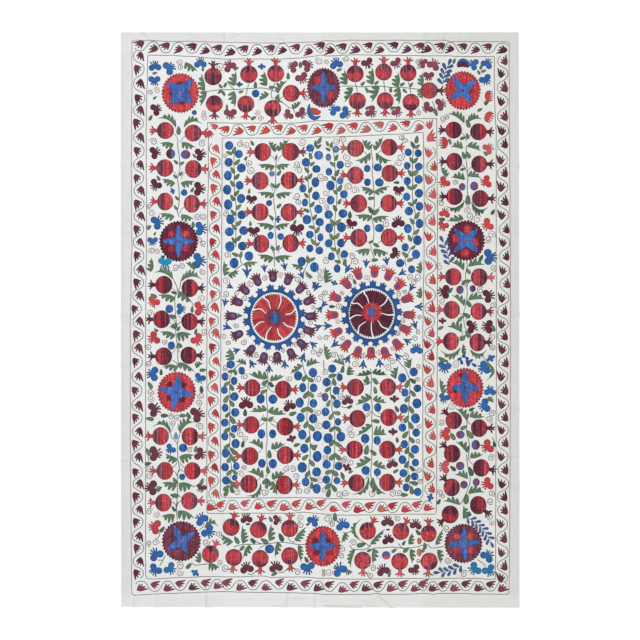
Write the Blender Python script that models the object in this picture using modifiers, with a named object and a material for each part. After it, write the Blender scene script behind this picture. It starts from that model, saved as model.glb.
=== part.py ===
"""Embroidered bedcover of four loom-width cotton panels, sewn edge to edge and laid flat.

Units are metres. +X runs across the cloth, +Y towards its top end, and +Z up from
the surface that the cloth lies on. The origin is under the middle of the cloth.
"""
import math

import bmesh
import bpy

COLLECTION_NAME = "suzani"

# The cloth: two layers of thread and ground, thicker where its edge is turned in.
CLOTH_THICKNESS = 0.0018
HEM_THICKNESS = 0.0024
SEAM_GAP = 0.0003

# Long edges and seams, from left to right: X at the cloth's top, middle and bottom.
LONG_LINES = (
    # name, x_top, x_middle, x_bottom
    ("left_edge", -0.7970, -0.7962, -0.7940),
    ("left_seam", -0.3828, -0.3840, -0.3868),
    ("middle_seam", 0.0104, 0.0125, 0.0064),
    ("right_seam", 0.4136, 0.4098, 0.4148),
    ("right_edge", 0.7938, 0.7960, 0.7970),
)

# Short ends: Y at the cloth's left, middle and right.
SHORT_ENDS = {
    # name: (y_left, y_middle, y_right)
    "bottom": (-1.1460, -1.1478, -1.1500),
    "top": (1.1500, 1.1491, 1.1494),
}
HALF_WIDTH = 0.797
HALF_LENGTH = 1.150

# Turned hems: width of the thicker band along each outer edge.
HEM_WIDTHS = {"left": 0.012, "right": 0.026, "bottom": 0.012, "top": 0.010}
HEM_STEP = 0.003

# Creases that storage folds left in the cloth. Each is a soft ridge from its start
# to its end, lift high in the middle and falling to nothing at half_width from it.
CREASES = (
    # name, x_start, y_start, x_end, y_end, lift, half_width
    ("upper_fold", -0.797, 0.621, 0.797, 0.617, 0.0026, 0.020),
    ("middle_fold", -0.797, 0.013, 0.797, 0.025, 0.0030, 0.022),
    ("lower_fold", -0.797, -0.571, 0.797, -0.660, 0.0022, 0.026),
    ("left_crease", -0.797, -0.175, -0.600, -0.170, 0.0024, 0.020),
    ("right_crease", 0.560, -0.346, 0.797, -0.351, 0.0024, 0.020),
    ("top_left_crease", -0.722, 1.150, -0.660, 1.108, 0.0030, 0.016),
    ("bottom_left_crease", -0.742, -1.150, -0.740, -1.040, 0.0020, 0.018),
    ("bottom_second_crease", -0.650, -1.150, -0.652, -1.060, 0.0018, 0.018),
    ("bottom_third_crease", -0.450, -1.150, -0.454, -1.050, 0.0020, 0.018),
    ("bottom_fourth_crease", -0.130, -1.150, -0.128, -1.060, 0.0018, 0.018),
    ("bottom_fifth_crease", -0.022, -1.150, -0.024, -1.050, 0.0022, 0.018),
    ("bottom_pucker", 0.235, -1.098, 0.290, -1.150, 0.0034, 0.016),
    ("bottom_ripple", 0.030, -1.140, 0.160, -1.146, 0.0026, 0.012),
)

# The cloth's mesh: the widest gap between its lines, and the creases that need
# lines of their own across a panel or along it.
LENGTH_PITCH = 0.110
WIDTH_PITCH = 0.110
LINES_ACROSS = ("upper_fold", "middle_fold", "lower_fold", "left_crease", "right_crease")
LINES_ALONG = (
    "top_left_crease",
    "bottom_left_crease",
    "bottom_second_crease",
    "bottom_third_crease",
    "bottom_fourth_crease",
    "bottom_fifth_crease",
    "bottom_pucker",
)
NEAREST_LINES = 0.004

# Unbleached cotton, a little greyer towards the right.
PANEL_COLOURS = {
    "panel_left": (0.700, 0.700, 0.655, 1.0),
    "panel_centre_left": (0.730, 0.725, 0.680, 1.0),
    "panel_centre_right": (0.725, 0.715, 0.665, 1.0),
    "panel_right": (0.680, 0.680, 0.625, 1.0),
}
COTTON_ROUGHNESS = 0.92


def clear_scene():
    """Remove whatever the scene holds."""
    for item in list(bpy.data.objects):
        bpy.data.objects.remove(item, do_unlink=True)


def curve_through(first, middle, last, share):
    """Read the parabola through three even places, at a share from 0 to 1 of its run."""
    bend = middle - (first + last) / 2
    return first + (last - first) * share + 4 * bend * share * (1 - share)


def long_line_x(line, y):
    """X of a long edge or seam at the height y."""
    _, x_top, x_middle, x_bottom = line
    share = (HALF_LENGTH - y) / (2 * HALF_LENGTH)
    return curve_through(x_top, x_middle, x_bottom, share)


def short_end_y(end, x):
    """Y of the cloth's top or bottom end at the place x."""
    share = (x + HALF_WIDTH) / (2 * HALF_WIDTH)
    return curve_through(*SHORT_ENDS[end], share)


def crease_height(crease, x, y):
    """Height of one crease at a point."""
    _, x_start, y_start, x_end, y_end, lift, half_width = crease
    run_x = x_end - x_start
    run_y = y_end - y_start
    share = ((x - x_start) * run_x + (y - y_start) * run_y) / (run_x**2 + run_y**2)
    share = min(max(share, 0.0), 1.0)
    distance = math.hypot(x - x_start - share * run_x, y - y_start - share * run_y)
    if distance >= half_width:
        return 0.0
    return lift * (1 + math.cos(math.pi * distance / half_width)) / 2


def cloth_height(x, y):
    """How far the cloth's underside stands off the surface at a point."""
    return max(crease_height(crease, x, y) for crease in CREASES)


def even_lines(low, high, pitch, wanted):
    """Places from low to high: the wanted ones, and even steps of at most pitch between."""
    places = [low]
    for place in sorted(wanted):
        if place - places[-1] > NEAREST_LINES and high - place > NEAREST_LINES:
            places.append(place)
    places.append(high)
    lines = [low]
    for start, end in zip(places, places[1:]):
        steps = math.ceil((end - start) / pitch)
        lines += [start + (end - start) * step / steps for step in range(1, steps + 1)]
    return lines


def crease_lines(names, middle_of, low, high):
    """The middle and both sides of each named crease that lies between low and high."""
    lines = []
    for crease in CREASES:
        if crease[0] in names:
            middle = middle_of(crease)
            half_width = crease[-1]
            lines += [middle - half_width, middle, middle + half_width]
    return [line for line in lines if low < line < high]


def rows_of(x):
    """Y of the mesh lines across the cloth, at the place x of a panel's middle."""

    def height_here(crease):
        _, x_start, y_start, x_end, y_end, _, _ = crease
        share = (x - x_start) / (x_end - x_start)
        return y_start + (y_end - y_start) * min(max(share, 0.0), 1.0)

    bottom = -HALF_LENGTH
    top = HALF_LENGTH
    hems = [
        bottom + HEM_WIDTHS["bottom"] - HEM_STEP,
        bottom + HEM_WIDTHS["bottom"],
        top - HEM_WIDTHS["top"],
        top - HEM_WIDTHS["top"] + HEM_STEP,
    ]
    creases = crease_lines(LINES_ACROSS, height_here, bottom, top)
    return even_lines(bottom, top, LENGTH_PITCH, creases + hems)


def columns_of(low, high):
    """X of the mesh lines along a panel that spans low to high."""

    def middle_here(crease):
        return (crease[1] + crease[3]) / 2

    hems = []
    if low < -HALF_WIDTH + HEM_WIDTHS["left"]:
        hems += [low + HEM_WIDTHS["left"] - HEM_STEP, low + HEM_WIDTHS["left"]]
    if high > HALF_WIDTH - HEM_WIDTHS["right"]:
        hems += [high - HEM_WIDTHS["right"], high - HEM_WIDTHS["right"] + HEM_STEP]
    creases = crease_lines(LINES_ALONG, middle_here, low, high)
    return even_lines(low, high, WIDTH_PITCH, creases + hems)


def in_hem(x, y):
    """Whether a point lies on the thicker, turned part of the cloth."""
    left_hem = long_line_x(LONG_LINES[0], y) + HEM_WIDTHS["left"] - HEM_STEP / 2
    right_hem = long_line_x(LONG_LINES[-1], y) - HEM_WIDTHS["right"] + HEM_STEP / 2
    bottom_hem = short_end_y("bottom", x) + HEM_WIDTHS["bottom"] - HEM_STEP / 2
    top_hem = short_end_y("top", x) - HEM_WIDTHS["top"] + HEM_STEP / 2
    return x < left_hem or x > right_hem or y < bottom_hem or y > top_hem


def panel_point(column, row, left_line, right_line):
    """Place a mesh line crossing on the panel's real, slightly crooked outline."""
    across = (column - left_line[2]) / (right_line[2] - left_line[2])
    x_left = long_line_x(left_line, row) + SEAM_GAP / 2
    x_right = long_line_x(right_line, row) - SEAM_GAP / 2
    x = x_left + (x_right - x_left) * across
    along = (row + HALF_LENGTH) / (2 * HALF_LENGTH)
    y_bottom = short_end_y("bottom", x)
    y_top = short_end_y("top", x)
    y = y_bottom + (y_top - y_bottom) * along
    return x, y, cloth_height(x, y)


def panel_mesh(name, left_line, right_line):
    """The panel's underside: a grid pulled to its outline and over its creases."""
    columns = columns_of(left_line[2], right_line[2])
    rows = rows_of((left_line[2] + right_line[2]) / 2)
    sheet = bmesh.new()
    bmesh.ops.create_grid(
        sheet,
        x_segments=len(columns) - 1,
        y_segments=len(rows) - 1,
        size=0.5,
    )
    for vert in sheet.verts:
        column = columns[round((vert.co.x + 0.5) * (len(columns) - 1))]
        row = rows[round((vert.co.y + 0.5) * (len(rows) - 1))]
        vert.co = panel_point(column, row, left_line, right_line)
    mesh = bpy.data.meshes.new(name)
    sheet.to_mesh(mesh)
    sheet.free()
    return mesh


def thicken(panel):
    """Give the panel its thickness upwards, and more of it along the hems."""
    group = panel.vertex_groups.new(name="thickness")
    for vert in panel.data.vertices:
        thickness = HEM_THICKNESS if in_hem(vert.co.x, vert.co.y) else CLOTH_THICKNESS
        group.add([vert.index], thickness / HEM_THICKNESS, "REPLACE")
    solidify = panel.modifiers.new("thickness", "SOLIDIFY")
    solidify.thickness = HEM_THICKNESS
    solidify.offset = 1.0
    solidify.vertex_group = group.name


def cotton(name, colour):
    """Plain undyed cotton."""
    material = bpy.data.materials.new(name)
    material.use_nodes = True
    shader = material.node_tree.nodes["Principled BSDF"]
    shader.inputs["Base Color"].default_value = colour
    shader.inputs["Roughness"].default_value = COTTON_ROUGHNESS
    shader.inputs["Metallic"].default_value = 0.0
    return material


def add_panel(collection, name, left_line, right_line):
    """One loom-width panel, between two neighbouring long lines."""
    mesh = panel_mesh(name, left_line, right_line)
    mesh.materials.append(cotton(name + "_cotton", PANEL_COLOURS[name]))
    panel = bpy.data.objects.new(name, mesh)
    collection.objects.link(panel)
    thicken(panel)
    return panel


def main():
    clear_scene()
    collection = bpy.data.collections.new(COLLECTION_NAME)
    bpy.context.scene.collection.children.link(collection)
    for name, left_line, right_line in zip(PANEL_COLOURS, LONG_LINES, LONG_LINES[1:]):
        add_panel(collection, name, left_line, right_line)


main()
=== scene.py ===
"""Looks of the embroidered bedcover: woven ground, seams, hems and raised hand embroidery.

All places and sizes below are millimetres on the cloth, from its middle: x to the right,
y to the top. Angles are degrees, anticlockwise from +x. Meshes are made in metres.
"""

import math
import random

import bpy
import numpy as np
from mathutils.geometry import delaunay_2d_cdt
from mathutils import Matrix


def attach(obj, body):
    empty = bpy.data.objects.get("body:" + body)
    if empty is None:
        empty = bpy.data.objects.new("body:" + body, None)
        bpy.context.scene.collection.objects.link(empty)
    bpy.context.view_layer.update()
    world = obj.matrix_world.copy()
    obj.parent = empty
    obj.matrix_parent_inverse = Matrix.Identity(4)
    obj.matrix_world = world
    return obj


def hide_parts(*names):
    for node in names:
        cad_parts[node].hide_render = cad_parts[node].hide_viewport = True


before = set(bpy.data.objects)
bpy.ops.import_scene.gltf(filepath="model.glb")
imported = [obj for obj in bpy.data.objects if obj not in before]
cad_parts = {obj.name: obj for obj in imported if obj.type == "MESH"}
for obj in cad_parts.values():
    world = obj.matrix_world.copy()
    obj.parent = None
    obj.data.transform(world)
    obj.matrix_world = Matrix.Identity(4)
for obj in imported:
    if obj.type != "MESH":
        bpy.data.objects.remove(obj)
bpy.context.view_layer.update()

MM = 0.001
SEED = 7
chance = random.Random(SEED)
grit = np.random.default_rng(SEED)

# ---------------------------------------------------------------- the cloth's shape
# These follow the solids: edges and seams, ends, hems and creases.
LONG_LINES = (
    # name, x_top, x_middle, x_bottom
    ("left_edge", -797.0, -796.2, -794.0),
    ("left_seam", -382.8, -384.0, -386.8),
    ("middle_seam", 10.4, 12.5, 6.4),
    ("right_seam", 413.6, 409.8, 414.8),
    ("right_edge", 793.8, 796.0, 797.0),
)
PANELS = ("panel_left", "panel_centre_left", "panel_centre_right", "panel_right")
BOTTOM_END = (-1146.0, -1147.8, -1150.0)
TOP_END = (1150.0, 1149.1, 1149.4)
HALF_WIDTH = 797.0
HALF_LENGTH = 1150.0
HEMS = {"left": 12.0, "right": 26.0, "bottom": 12.0, "top": 10.0}
GROUND_THICKNESS = 1.1
HEM_THICKNESS = 2.0
HEM_STEP = 3.0

CREASES = (
    # name, x_start, y_start, x_end, y_end, lift, half_width
    ("upper_fold", -797, 621, 797, 617, 2.6, 20),
    ("middle_fold", -797, 13, 797, 25, 3.0, 22),
    ("lower_fold", -797, -571, 797, -660, 2.2, 26),
    ("left_crease", -797, -175, -600, -170, 2.4, 20),
    ("right_crease", 560, -346, 797, -351, 2.4, 20),
    ("top_left_crease", -722, 1150, -660, 1108, 3.0, 16),
    ("bottom_left_crease", -742, -1150, -740, -1040, 2.0, 18),
    ("bottom_second_crease", -650, -1150, -652, -1060, 1.8, 18),
    ("bottom_third_crease", -450, -1150, -454, -1050, 2.0, 18),
    ("bottom_fourth_crease", -130, -1150, -128, -1060, 1.8, 18),
    ("bottom_fifth_crease", -22, -1150, -24, -1050, 2.2, 18),
    ("bottom_pucker", 235, -1098, 290, -1150, 3.4, 16),
    ("bottom_ripple", 30, -1140, 160, -1146, 2.6, 12),
)
GRID_PITCH = 10.0

# Painted shade of narrow wrinkles in the margins, which have no relief here. Each darkens the ground's
# colour most along its own line.
PAINTED_WRINKLE_SHADES = (
    # x_start, y_start, x_end, y_end, half_width, depth
    (-743, -1104, -743, -1150, 6, 0.09),
    (-650, -1102, -651, -1150, 6, 0.08),
    (-455, -1098, -456, -1150, 6, 0.17),
    (-129, -1098, -136, -1142, 6, 0.14),
    (-21, -1100, -23, -1150, 7, 0.12),
    (-112, -1113, -46, -1112, 5, 0.11),
    (-186, -1142, -136, -1144, 5, 0.14),
    (2, -1124, 32, -1125, 5, 0.11),
    (16, -1142, 164, -1145, 6, 0.21),
    (160, -1124, 204, -1128, 5, 0.12),
    (186, -1140, 226, -1149, 5, 0.17),
    (229, -1098, 288, -1150, 6, 0.20),
    (-712, 1148, -688, 1128, 6, 0.14),
    (-524, 1142, -488, 1132, 6, 0.09),
    (-382, 1147, -381, 1112, 5, 0.12),
    (-362, 1121, -326, 1144, 6, 0.09),
    (-164, 1130, -140, 1116, 5, 0.11),
    (415, 1147, 414, 1112, 5, 0.08),
    (498, 1146, 498, 1114, 6, 0.09),
    (-797, 347, -762, 346, 6, 0.06),
    (-797, 18, -762, 17, 6, 0.09),
    (-797, -353, -762, -352, 6, 0.06),
    (-797, -564, -762, -562, 6, 0.08),
    (762, 346, 797, 347, 6, 0.06),
    (762, 17, 797, 18, 6, 0.09),
    (762, -352, 797, -353, 6, 0.08),
    (762, -546, 797, -548, 6, 0.08),
    (762, -674, 797, -673, 6, 0.06),
)
# The cloth's grid has closer lines along wrinkles: rows for all of them, and columns for
# those that run less than STEEP_RUN sideways.
FINE_PITCH = 5
STEEP_RUN = 62


def parabola(first, middle, last, share):
    """Read the curve through three even places, at a share from 0 to 1 of its run."""
    bend = middle - (first + last) / 2
    return first + (last - first) * share + 4 * bend * share * (1 - share)


def long_line_x(line, y):
    share = (HALF_LENGTH - y) / (2 * HALF_LENGTH)
    return parabola(line[1], line[2], line[3], share)


def end_y(end, x):
    share = (x + HALF_WIDTH) / (2 * HALF_WIDTH)
    return parabola(*end, share)


def distance_from_run(x, y, x_start, y_start, x_end, y_end):
    """How far places x, y lie from a straight line's run."""
    run_x = x_end - x_start
    run_y = y_end - y_start
    share = ((x - x_start) * run_x + (y - y_start) * run_y) / (run_x**2 + run_y**2)
    share = np.clip(share, 0.0, 1.0)
    return np.hypot(x - x_start - share * run_x, y - y_start - share * run_y)


def crease_height(x, y):
    """How far the cloth stands off the floor at places x, y (arrays or numbers)."""
    x = np.asarray(x, float)
    y = np.asarray(y, float)
    height = np.zeros(np.broadcast(x, y).shape)
    for _, x_start, y_start, x_end, y_end, lift, half_width in CREASES:
        distance = distance_from_run(x, y, x_start, y_start, x_end, y_end)
        wave = lift * (1 + np.cos(np.pi * np.minimum(distance / half_width, 1.0))) / 2
        height = np.maximum(height, wave)
    return height


def ground_top(x, y):
    """Height of the ground cloth's upper face."""
    return crease_height(x, y) + GROUND_THICKNESS


# ---------------------------------------------------------------- materials
DYES = {
    # name: linear colour
    "red": (0.465, 0.047, 0.055),
    "crimson": (0.360, 0.024, 0.034),
    "rose": (0.520, 0.085, 0.105),
    "orange": (0.475, 0.064, 0.046),
    "salmon": (0.440, 0.125, 0.105),
    "wine": (0.095, 0.018, 0.036),
    "plum": (0.125, 0.030, 0.050),
    "mulberry": (0.215, 0.045, 0.078),
    "dusk": (0.165, 0.034, 0.058),
    "garnet": (0.120, 0.017, 0.036),
    "mauve": (0.290, 0.105, 0.145),
    "blue": (0.024, 0.112, 0.335),
    "royal": (0.018, 0.082, 0.265),
    "cornflower": (0.055, 0.138, 0.415),
    "azure": (0.022, 0.155, 0.370),
    "turquoise": (0.012, 0.240, 0.450),
    "indigo": (0.026, 0.085, 0.275),
    "violet": (0.090, 0.090, 0.250),
    "denim": (0.048, 0.098, 0.262),
    "slate": (0.120, 0.200, 0.410),
    "green": (0.098, 0.165, 0.096),
    "pine": (0.055, 0.105, 0.066),
    "olive": (0.140, 0.182, 0.104),
    "stem": (0.070, 0.112, 0.070),
    "vine": (0.130, 0.165, 0.130),
    "madder": (0.280, 0.140, 0.160),
    "russet": (0.118, 0.074, 0.079),
    "umber": (0.085, 0.038, 0.042),
    "cotton": (0.620, 0.620, 0.590),
}
# A wave texture whose scale is 0.5 / p repeats every 0.63 p.
WARP_WAVES = 0.5 / 0.0010
WEFT_WAVES = 0.5 / 0.0011
CORD_WAVES = 0.5 / 0.9
COUCHING_WAVES = 0.5 / 3.2
WARP_SLUBS = (420, 9, 1)
WEFT_SLUBS = (9, 420, 1)
CLOUD_SCALE = 14.0
WIDE_CLOUD_SCALE = 3.0
RIPPLE_SCALE = 38.0
FADE_SCALE = 60.0
STRAND_STRETCH = (0.9, 0.05, 1)
HANK_STRETCH = (0.20, 0.03, 1)
# Lowest and highest tone that each pattern gives; those about 0 are added to the others.
SLUB_TONES = (0.82, 1.10)
CLOUD_TONES = (-0.05, 0.05)
WIDE_CLOUD_TONES = (-0.03, 0.03)
STRAND_TONES = (0.62, 1.38)
FADE_TONES = (-0.15, 0.15)
HANK_TONES = (-0.42, 0.42)
CORD_TONES = (0.82, 1.10)
GROUND_ROUGHNESS = (0.84, 0.96)
RIPPLE_RELIEF = 7.0
SLUB_RELIEF = 1.5
GROUND_BUMP = 0.00035
COUCHING_RELIEF = 0.4
THREAD_BUMP = 0.0003
SILK_ROUGHNESS = 0.62
ROUGHNESS_CHANGE = 0.08


class Nodes:
    """Short hand for building one material's node tree."""

    def __init__(self, name):
        self.material = bpy.data.materials.new(name)
        self.material.use_nodes = True
        self.tree = self.material.node_tree
        self.shader = self.tree.nodes["Principled BSDF"]

    def add(self, kind, **values):
        node = self.tree.nodes.new(kind)
        for name, value in values.items():
            if name in node.inputs:
                node.inputs[name].default_value = value
            else:
                setattr(node, name, value)
        return node

    def link(self, source, target):
        self.tree.links.new(source, target)

    def math(self, operation, first, second):
        node = self.tree.nodes.new("ShaderNodeMath")
        node.operation = operation
        for socket, value in zip(node.inputs, (first, second)):
            if isinstance(value, (int, float)):
                socket.default_value = value
            else:
                self.link(value, socket)
        return node.outputs[0]


def noise(nodes, vector, scale, detail=2.0, roughness=0.5):
    node = nodes.add("ShaderNodeTexNoise", Scale=scale, Detail=detail, Roughness=roughness)
    nodes.link(vector, node.inputs["Vector"])
    return node.outputs["Fac"]


def stretched(nodes, vector, scale):
    node = nodes.add("ShaderNodeMapping", Scale=scale)
    nodes.link(vector, node.inputs["Vector"])
    return node.outputs["Vector"]


def remap(nodes, value, low, high):
    node = nodes.add("ShaderNodeMapRange")
    node.inputs["To Min"].default_value = low
    node.inputs["To Max"].default_value = high
    nodes.link(value, node.inputs["Value"])
    return node.outputs["Result"]


def scale_colour(nodes, colour, factor):
    """Multiply a colour by a number that varies over the surface."""
    node = nodes.add("ShaderNodeVectorMath", operation="SCALE")
    if isinstance(colour, tuple):
        node.inputs[0].default_value = colour
    else:
        nodes.link(colour, node.inputs[0])
    nodes.link(factor, node.inputs["Scale"])
    return node.outputs["Vector"]


def ground_material(name, colour):
    """Plain weave: crossing threads with slubs, faint clouds of wear, ripples, and the ground's whiteness
    with the painted shade of its wrinkles.
    """
    nodes = Nodes(name)
    place = nodes.add("ShaderNodeTexCoord").outputs["Object"]
    warp = nodes.add("ShaderNodeTexWave", Scale=WARP_WAVES, bands_direction="X", Distortion=0.6)
    weft = nodes.add("ShaderNodeTexWave", Scale=WEFT_WAVES, bands_direction="Y", Distortion=0.6)
    for wave in (warp, weft):
        nodes.link(place, wave.inputs["Vector"])
    warp_slub = noise(nodes, stretched(nodes, place, WARP_SLUBS), 1.0, 3.0)
    weft_slub = noise(nodes, stretched(nodes, place, WEFT_SLUBS), 1.0, 3.0)
    cloud = noise(nodes, place, CLOUD_SCALE, 3.0)
    wide_cloud = noise(nodes, place, WIDE_CLOUD_SCALE)
    streaks = nodes.math("ADD", warp_slub, weft_slub)
    tone = nodes.math("ADD", remap(nodes, streaks, *SLUB_TONES), remap(nodes, cloud, *CLOUD_TONES))
    tone = nodes.math("ADD", tone, remap(nodes, wide_cloud, *WIDE_CLOUD_TONES))
    # This colour holds the ground's whiteness times the painted shade of its wrinkles.
    whiteness_and_shade = nodes.add("ShaderNodeVertexColor", layer_name="whiteness_and_shade").outputs["Color"]
    whitened_and_shaded = scale_colour(nodes, whiteness_and_shade, tone)
    tint = nodes.add("ShaderNodeVectorMath", operation="MULTIPLY")
    tint.inputs[0].default_value = colour
    nodes.link(whitened_and_shaded, tint.inputs[1])
    nodes.link(tint.outputs["Vector"], nodes.shader.inputs["Base Color"])
    weave = nodes.math("ADD", warp.outputs["Fac"], weft.outputs["Fac"])
    ripple = nodes.math("MULTIPLY", noise(nodes, place, RIPPLE_SCALE), RIPPLE_RELIEF)
    slubs = nodes.math("MULTIPLY", streaks, SLUB_RELIEF)
    relief = nodes.math("ADD", nodes.math("ADD", weave, ripple), slubs)
    bump = nodes.add("ShaderNodeBump", Strength=0.55, Distance=GROUND_BUMP)
    nodes.link(relief, bump.inputs["Height"])
    nodes.link(bump.outputs["Normal"], nodes.shader.inputs["Normal"])
    nodes.link(remap(nodes, cloud, *GROUND_ROUGHNESS), nodes.shader.inputs["Roughness"])
    nodes.shader.inputs["Sheen Weight"].default_value = 0.03
    nodes.shader.inputs["Specular IOR Level"].default_value = 0.2
    return nodes.material


def thread_material(name):
    """Laid silk: fine cords along the stitch, each a little lighter or darker than the next."""
    nodes = Nodes(name)
    dye = nodes.add("ShaderNodeVertexColor", layer_name="dye").outputs["Color"]
    along = nodes.add("ShaderNodeUVMap", uv_map="stitch").outputs["UV"]
    cords = nodes.add("ShaderNodeTexWave", Scale=CORD_WAVES, bands_direction="X", Distortion=0.5)
    nodes.link(along, cords.inputs["Vector"])
    strand = noise(nodes, stretched(nodes, along, STRAND_STRETCH), 1.0)
    couching = nodes.add("ShaderNodeTexWave", Scale=COUCHING_WAVES, bands_direction="Y", Distortion=1.5)
    nodes.link(along, couching.inputs["Vector"])
    place = nodes.add("ShaderNodeTexCoord").outputs["Object"]
    fade = noise(nodes, place, FADE_SCALE)
    hank = noise(nodes, stretched(nodes, along, HANK_STRETCH), 1.0, 1.0)
    tone = nodes.math("ADD", remap(nodes, strand, *STRAND_TONES), remap(nodes, fade, *FADE_TONES))
    tone = nodes.math("ADD", tone, remap(nodes, hank, *HANK_TONES))
    tone = nodes.math("MULTIPLY", tone, remap(nodes, cords.outputs["Fac"], *CORD_TONES))
    nodes.link(scale_colour(nodes, dye, tone), nodes.shader.inputs["Base Color"])
    ties = nodes.math("MULTIPLY", couching.outputs["Fac"], COUCHING_RELIEF)
    relief = nodes.math("ADD", cords.outputs["Fac"], ties)
    bump = nodes.add("ShaderNodeBump", Strength=0.5, Distance=THREAD_BUMP)
    nodes.link(relief, bump.inputs["Height"])
    nodes.link(bump.outputs["Normal"], nodes.shader.inputs["Normal"])
    shine = remap(nodes, strand, SILK_ROUGHNESS - ROUGHNESS_CHANGE, SILK_ROUGHNESS + ROUGHNESS_CHANGE)
    nodes.link(shine, nodes.shader.inputs["Roughness"])
    nodes.shader.inputs["Sheen Weight"].default_value = 0.02
    nodes.shader.inputs["Specular IOR Level"].default_value = 0.15
    return nodes.material


# ---------------------------------------------------------------- gathering stitches
class Stitchwork:
    """Patches and lines of stitches, gathered into one mesh."""

    def __init__(self, name, slot, column):
        self.name = name
        self.slot = slot
        self.column = column
        self.points = []
        self.faces = []
        self.stitch = []
        self.dyes = []
        self.count = 0

    def add(self, points, faces, stitch, dyes):
        """points: n x 3 in mm; faces: index rows; stitch: n x 2 in mm; dyes: n x 3 linear."""
        self.points.append(np.asarray(points, float))
        self.faces += [[int(i) + self.count for i in face] for face in faces]
        self.stitch.append(np.asarray(stitch, float))
        self.dyes.append(np.asarray(dyes, float))
        self.count += len(points)


WORKS = {}
FAMILIES = {
    # thread family: (its dyes, record slot)
    "red": (("red", "crimson", "rose", "orange", "salmon"), "thread_red"),
    "maroon": (("wine", "plum", "mulberry", "dusk", "garnet", "mauve"), "thread_maroon"),
    "blue": (
        (
            "blue", "royal", "cornflower", "azure", "turquoise",
            "indigo", "denim", "violet", "slate",
        ),
        "thread_blue",
    ),
    "green": (("green", "pine", "olive", "vine", "stem"), "thread_green"),
    "pink": (("madder", "russet", "umber"), "thread_pink"),
    "cotton": (("cotton",), "cotton_ground"),
}
COLUMN_BREAKS = (-384.0, 11.5, 411.0)
ROW_BREAKS = (575.0, 0.0, -575.0)
ROW_NAMES = ("top", "upper", "lower", "bottom")


def work_at(x, y, dye):
    """The mesh that a motif of this dye, at this place, belongs to."""
    column = sum(x > edge for edge in COLUMN_BREAKS)
    row = sum(y < edge for edge in ROW_BREAKS)
    family = next(name for name, (dyes, _) in FAMILIES.items() if dye in dyes)
    name = f"stitches_{family}_{ROW_NAMES[row]}_{PANELS[column].removeprefix('panel_')}"
    if name not in WORKS:
        WORKS[name] = Stitchwork(name, FAMILIES[family][1], column)
    return WORKS[name]


def varied(dye, amount=0.10):
    """One motif's own shade of a dye."""
    shade = 1 + chance.uniform(-amount, amount)
    return np.array(DYES[dye]) * shade


# ---------------------------------------------------------------- filled shapes
RIM_HEIGHT = 0.30
EDGE_TONE = 0.50
MIDDLE_TONE = 1.08
EDGE_WIDTH = 2.4
FILL_HEIGHT = 1.10
DOME_WIDTH = 3.4
SKIRT_DEPTH = -0.35
BAND_RELIEF = 0.35
BAND_ROW_PITCH = 2.9
# How far apart the points within a patch lie.
PATCH_PITCH = 3.4
HEART_PITCH = 3.0
SMALL_PITCH = 3.2
LEAF_PITCH = 3.6
FLOWER_PITCH = 3.8
RING_PITCH = 4.0
CLEAR_SHARE = 0.35


def turned(points, angle):
    """Turn outline points about the origin by an angle in degrees."""
    turn = math.radians(angle)
    cos, sin = math.cos(turn), math.sin(turn)
    points = np.asarray(points, float)
    x, y = points[:, 0], points[:, 1]
    return np.column_stack((x * cos - y * sin, x * sin + y * cos))


def distance_to(outline, points):
    """Distance of each point from a closed outline."""
    run = np.roll(outline, -1, axis=0) - outline
    length = np.maximum((run**2).sum(1), 1e-9)
    offset = points[:, None, :] - outline[None, :, :]
    share = np.clip((offset * run[None]).sum(2) / length[None], 0, 1)
    away = offset - share[..., None] * run[None]
    return np.hypot(away[..., 0], away[..., 1]).min(1)


def inside(outline, points):
    """Which points lie inside a closed outline."""
    x, y = points[:, 0][:, None], points[:, 1][:, None]
    x0, y0 = outline[:, 0][None], outline[:, 1][None]
    x1, y1 = np.roll(outline[:, 0], -1)[None], np.roll(outline[:, 1], -1)[None]
    spans = (y0 > y) != (y1 > y)
    rise = np.where(np.abs(y1 - y0) < 1e-9, 1e-9, y1 - y0)
    crosses = spans & (x < (x1 - x0) * (y - y0) / rise + x0)
    return crosses.sum(1) % 2 == 1


def area_of(outline):
    x, y = outline[:, 0], outline[:, 1]
    return (x * np.roll(y, -1) - np.roll(x, -1) * y).sum() / 2


def grid_in(outline, x_pitch, y_pitch, stagger):
    """Even points inside an outline, counted from its middle and clear of its edge."""
    middle = (outline.min(0) + outline.max(0)) / 2
    reach = (outline.max(0) - outline.min(0)) / 2
    columns = int(reach[0] / x_pitch) + 1
    rows = int(reach[1] / y_pitch) + 1
    spots = []
    for row in range(-rows, rows + 1):
        shift = stagger * (row % 2) * x_pitch / 2
        for column in range(-columns, columns + 1):
            spots.append((middle[0] + column * x_pitch + shift, middle[1] + row * y_pitch))
    spots = np.array(spots)
    spots = spots[inside(outline, spots)]
    if len(spots):
        spots = spots[distance_to(outline, spots) > min(x_pitch, y_pitch) * CLEAR_SHARE]
    return spots


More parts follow.
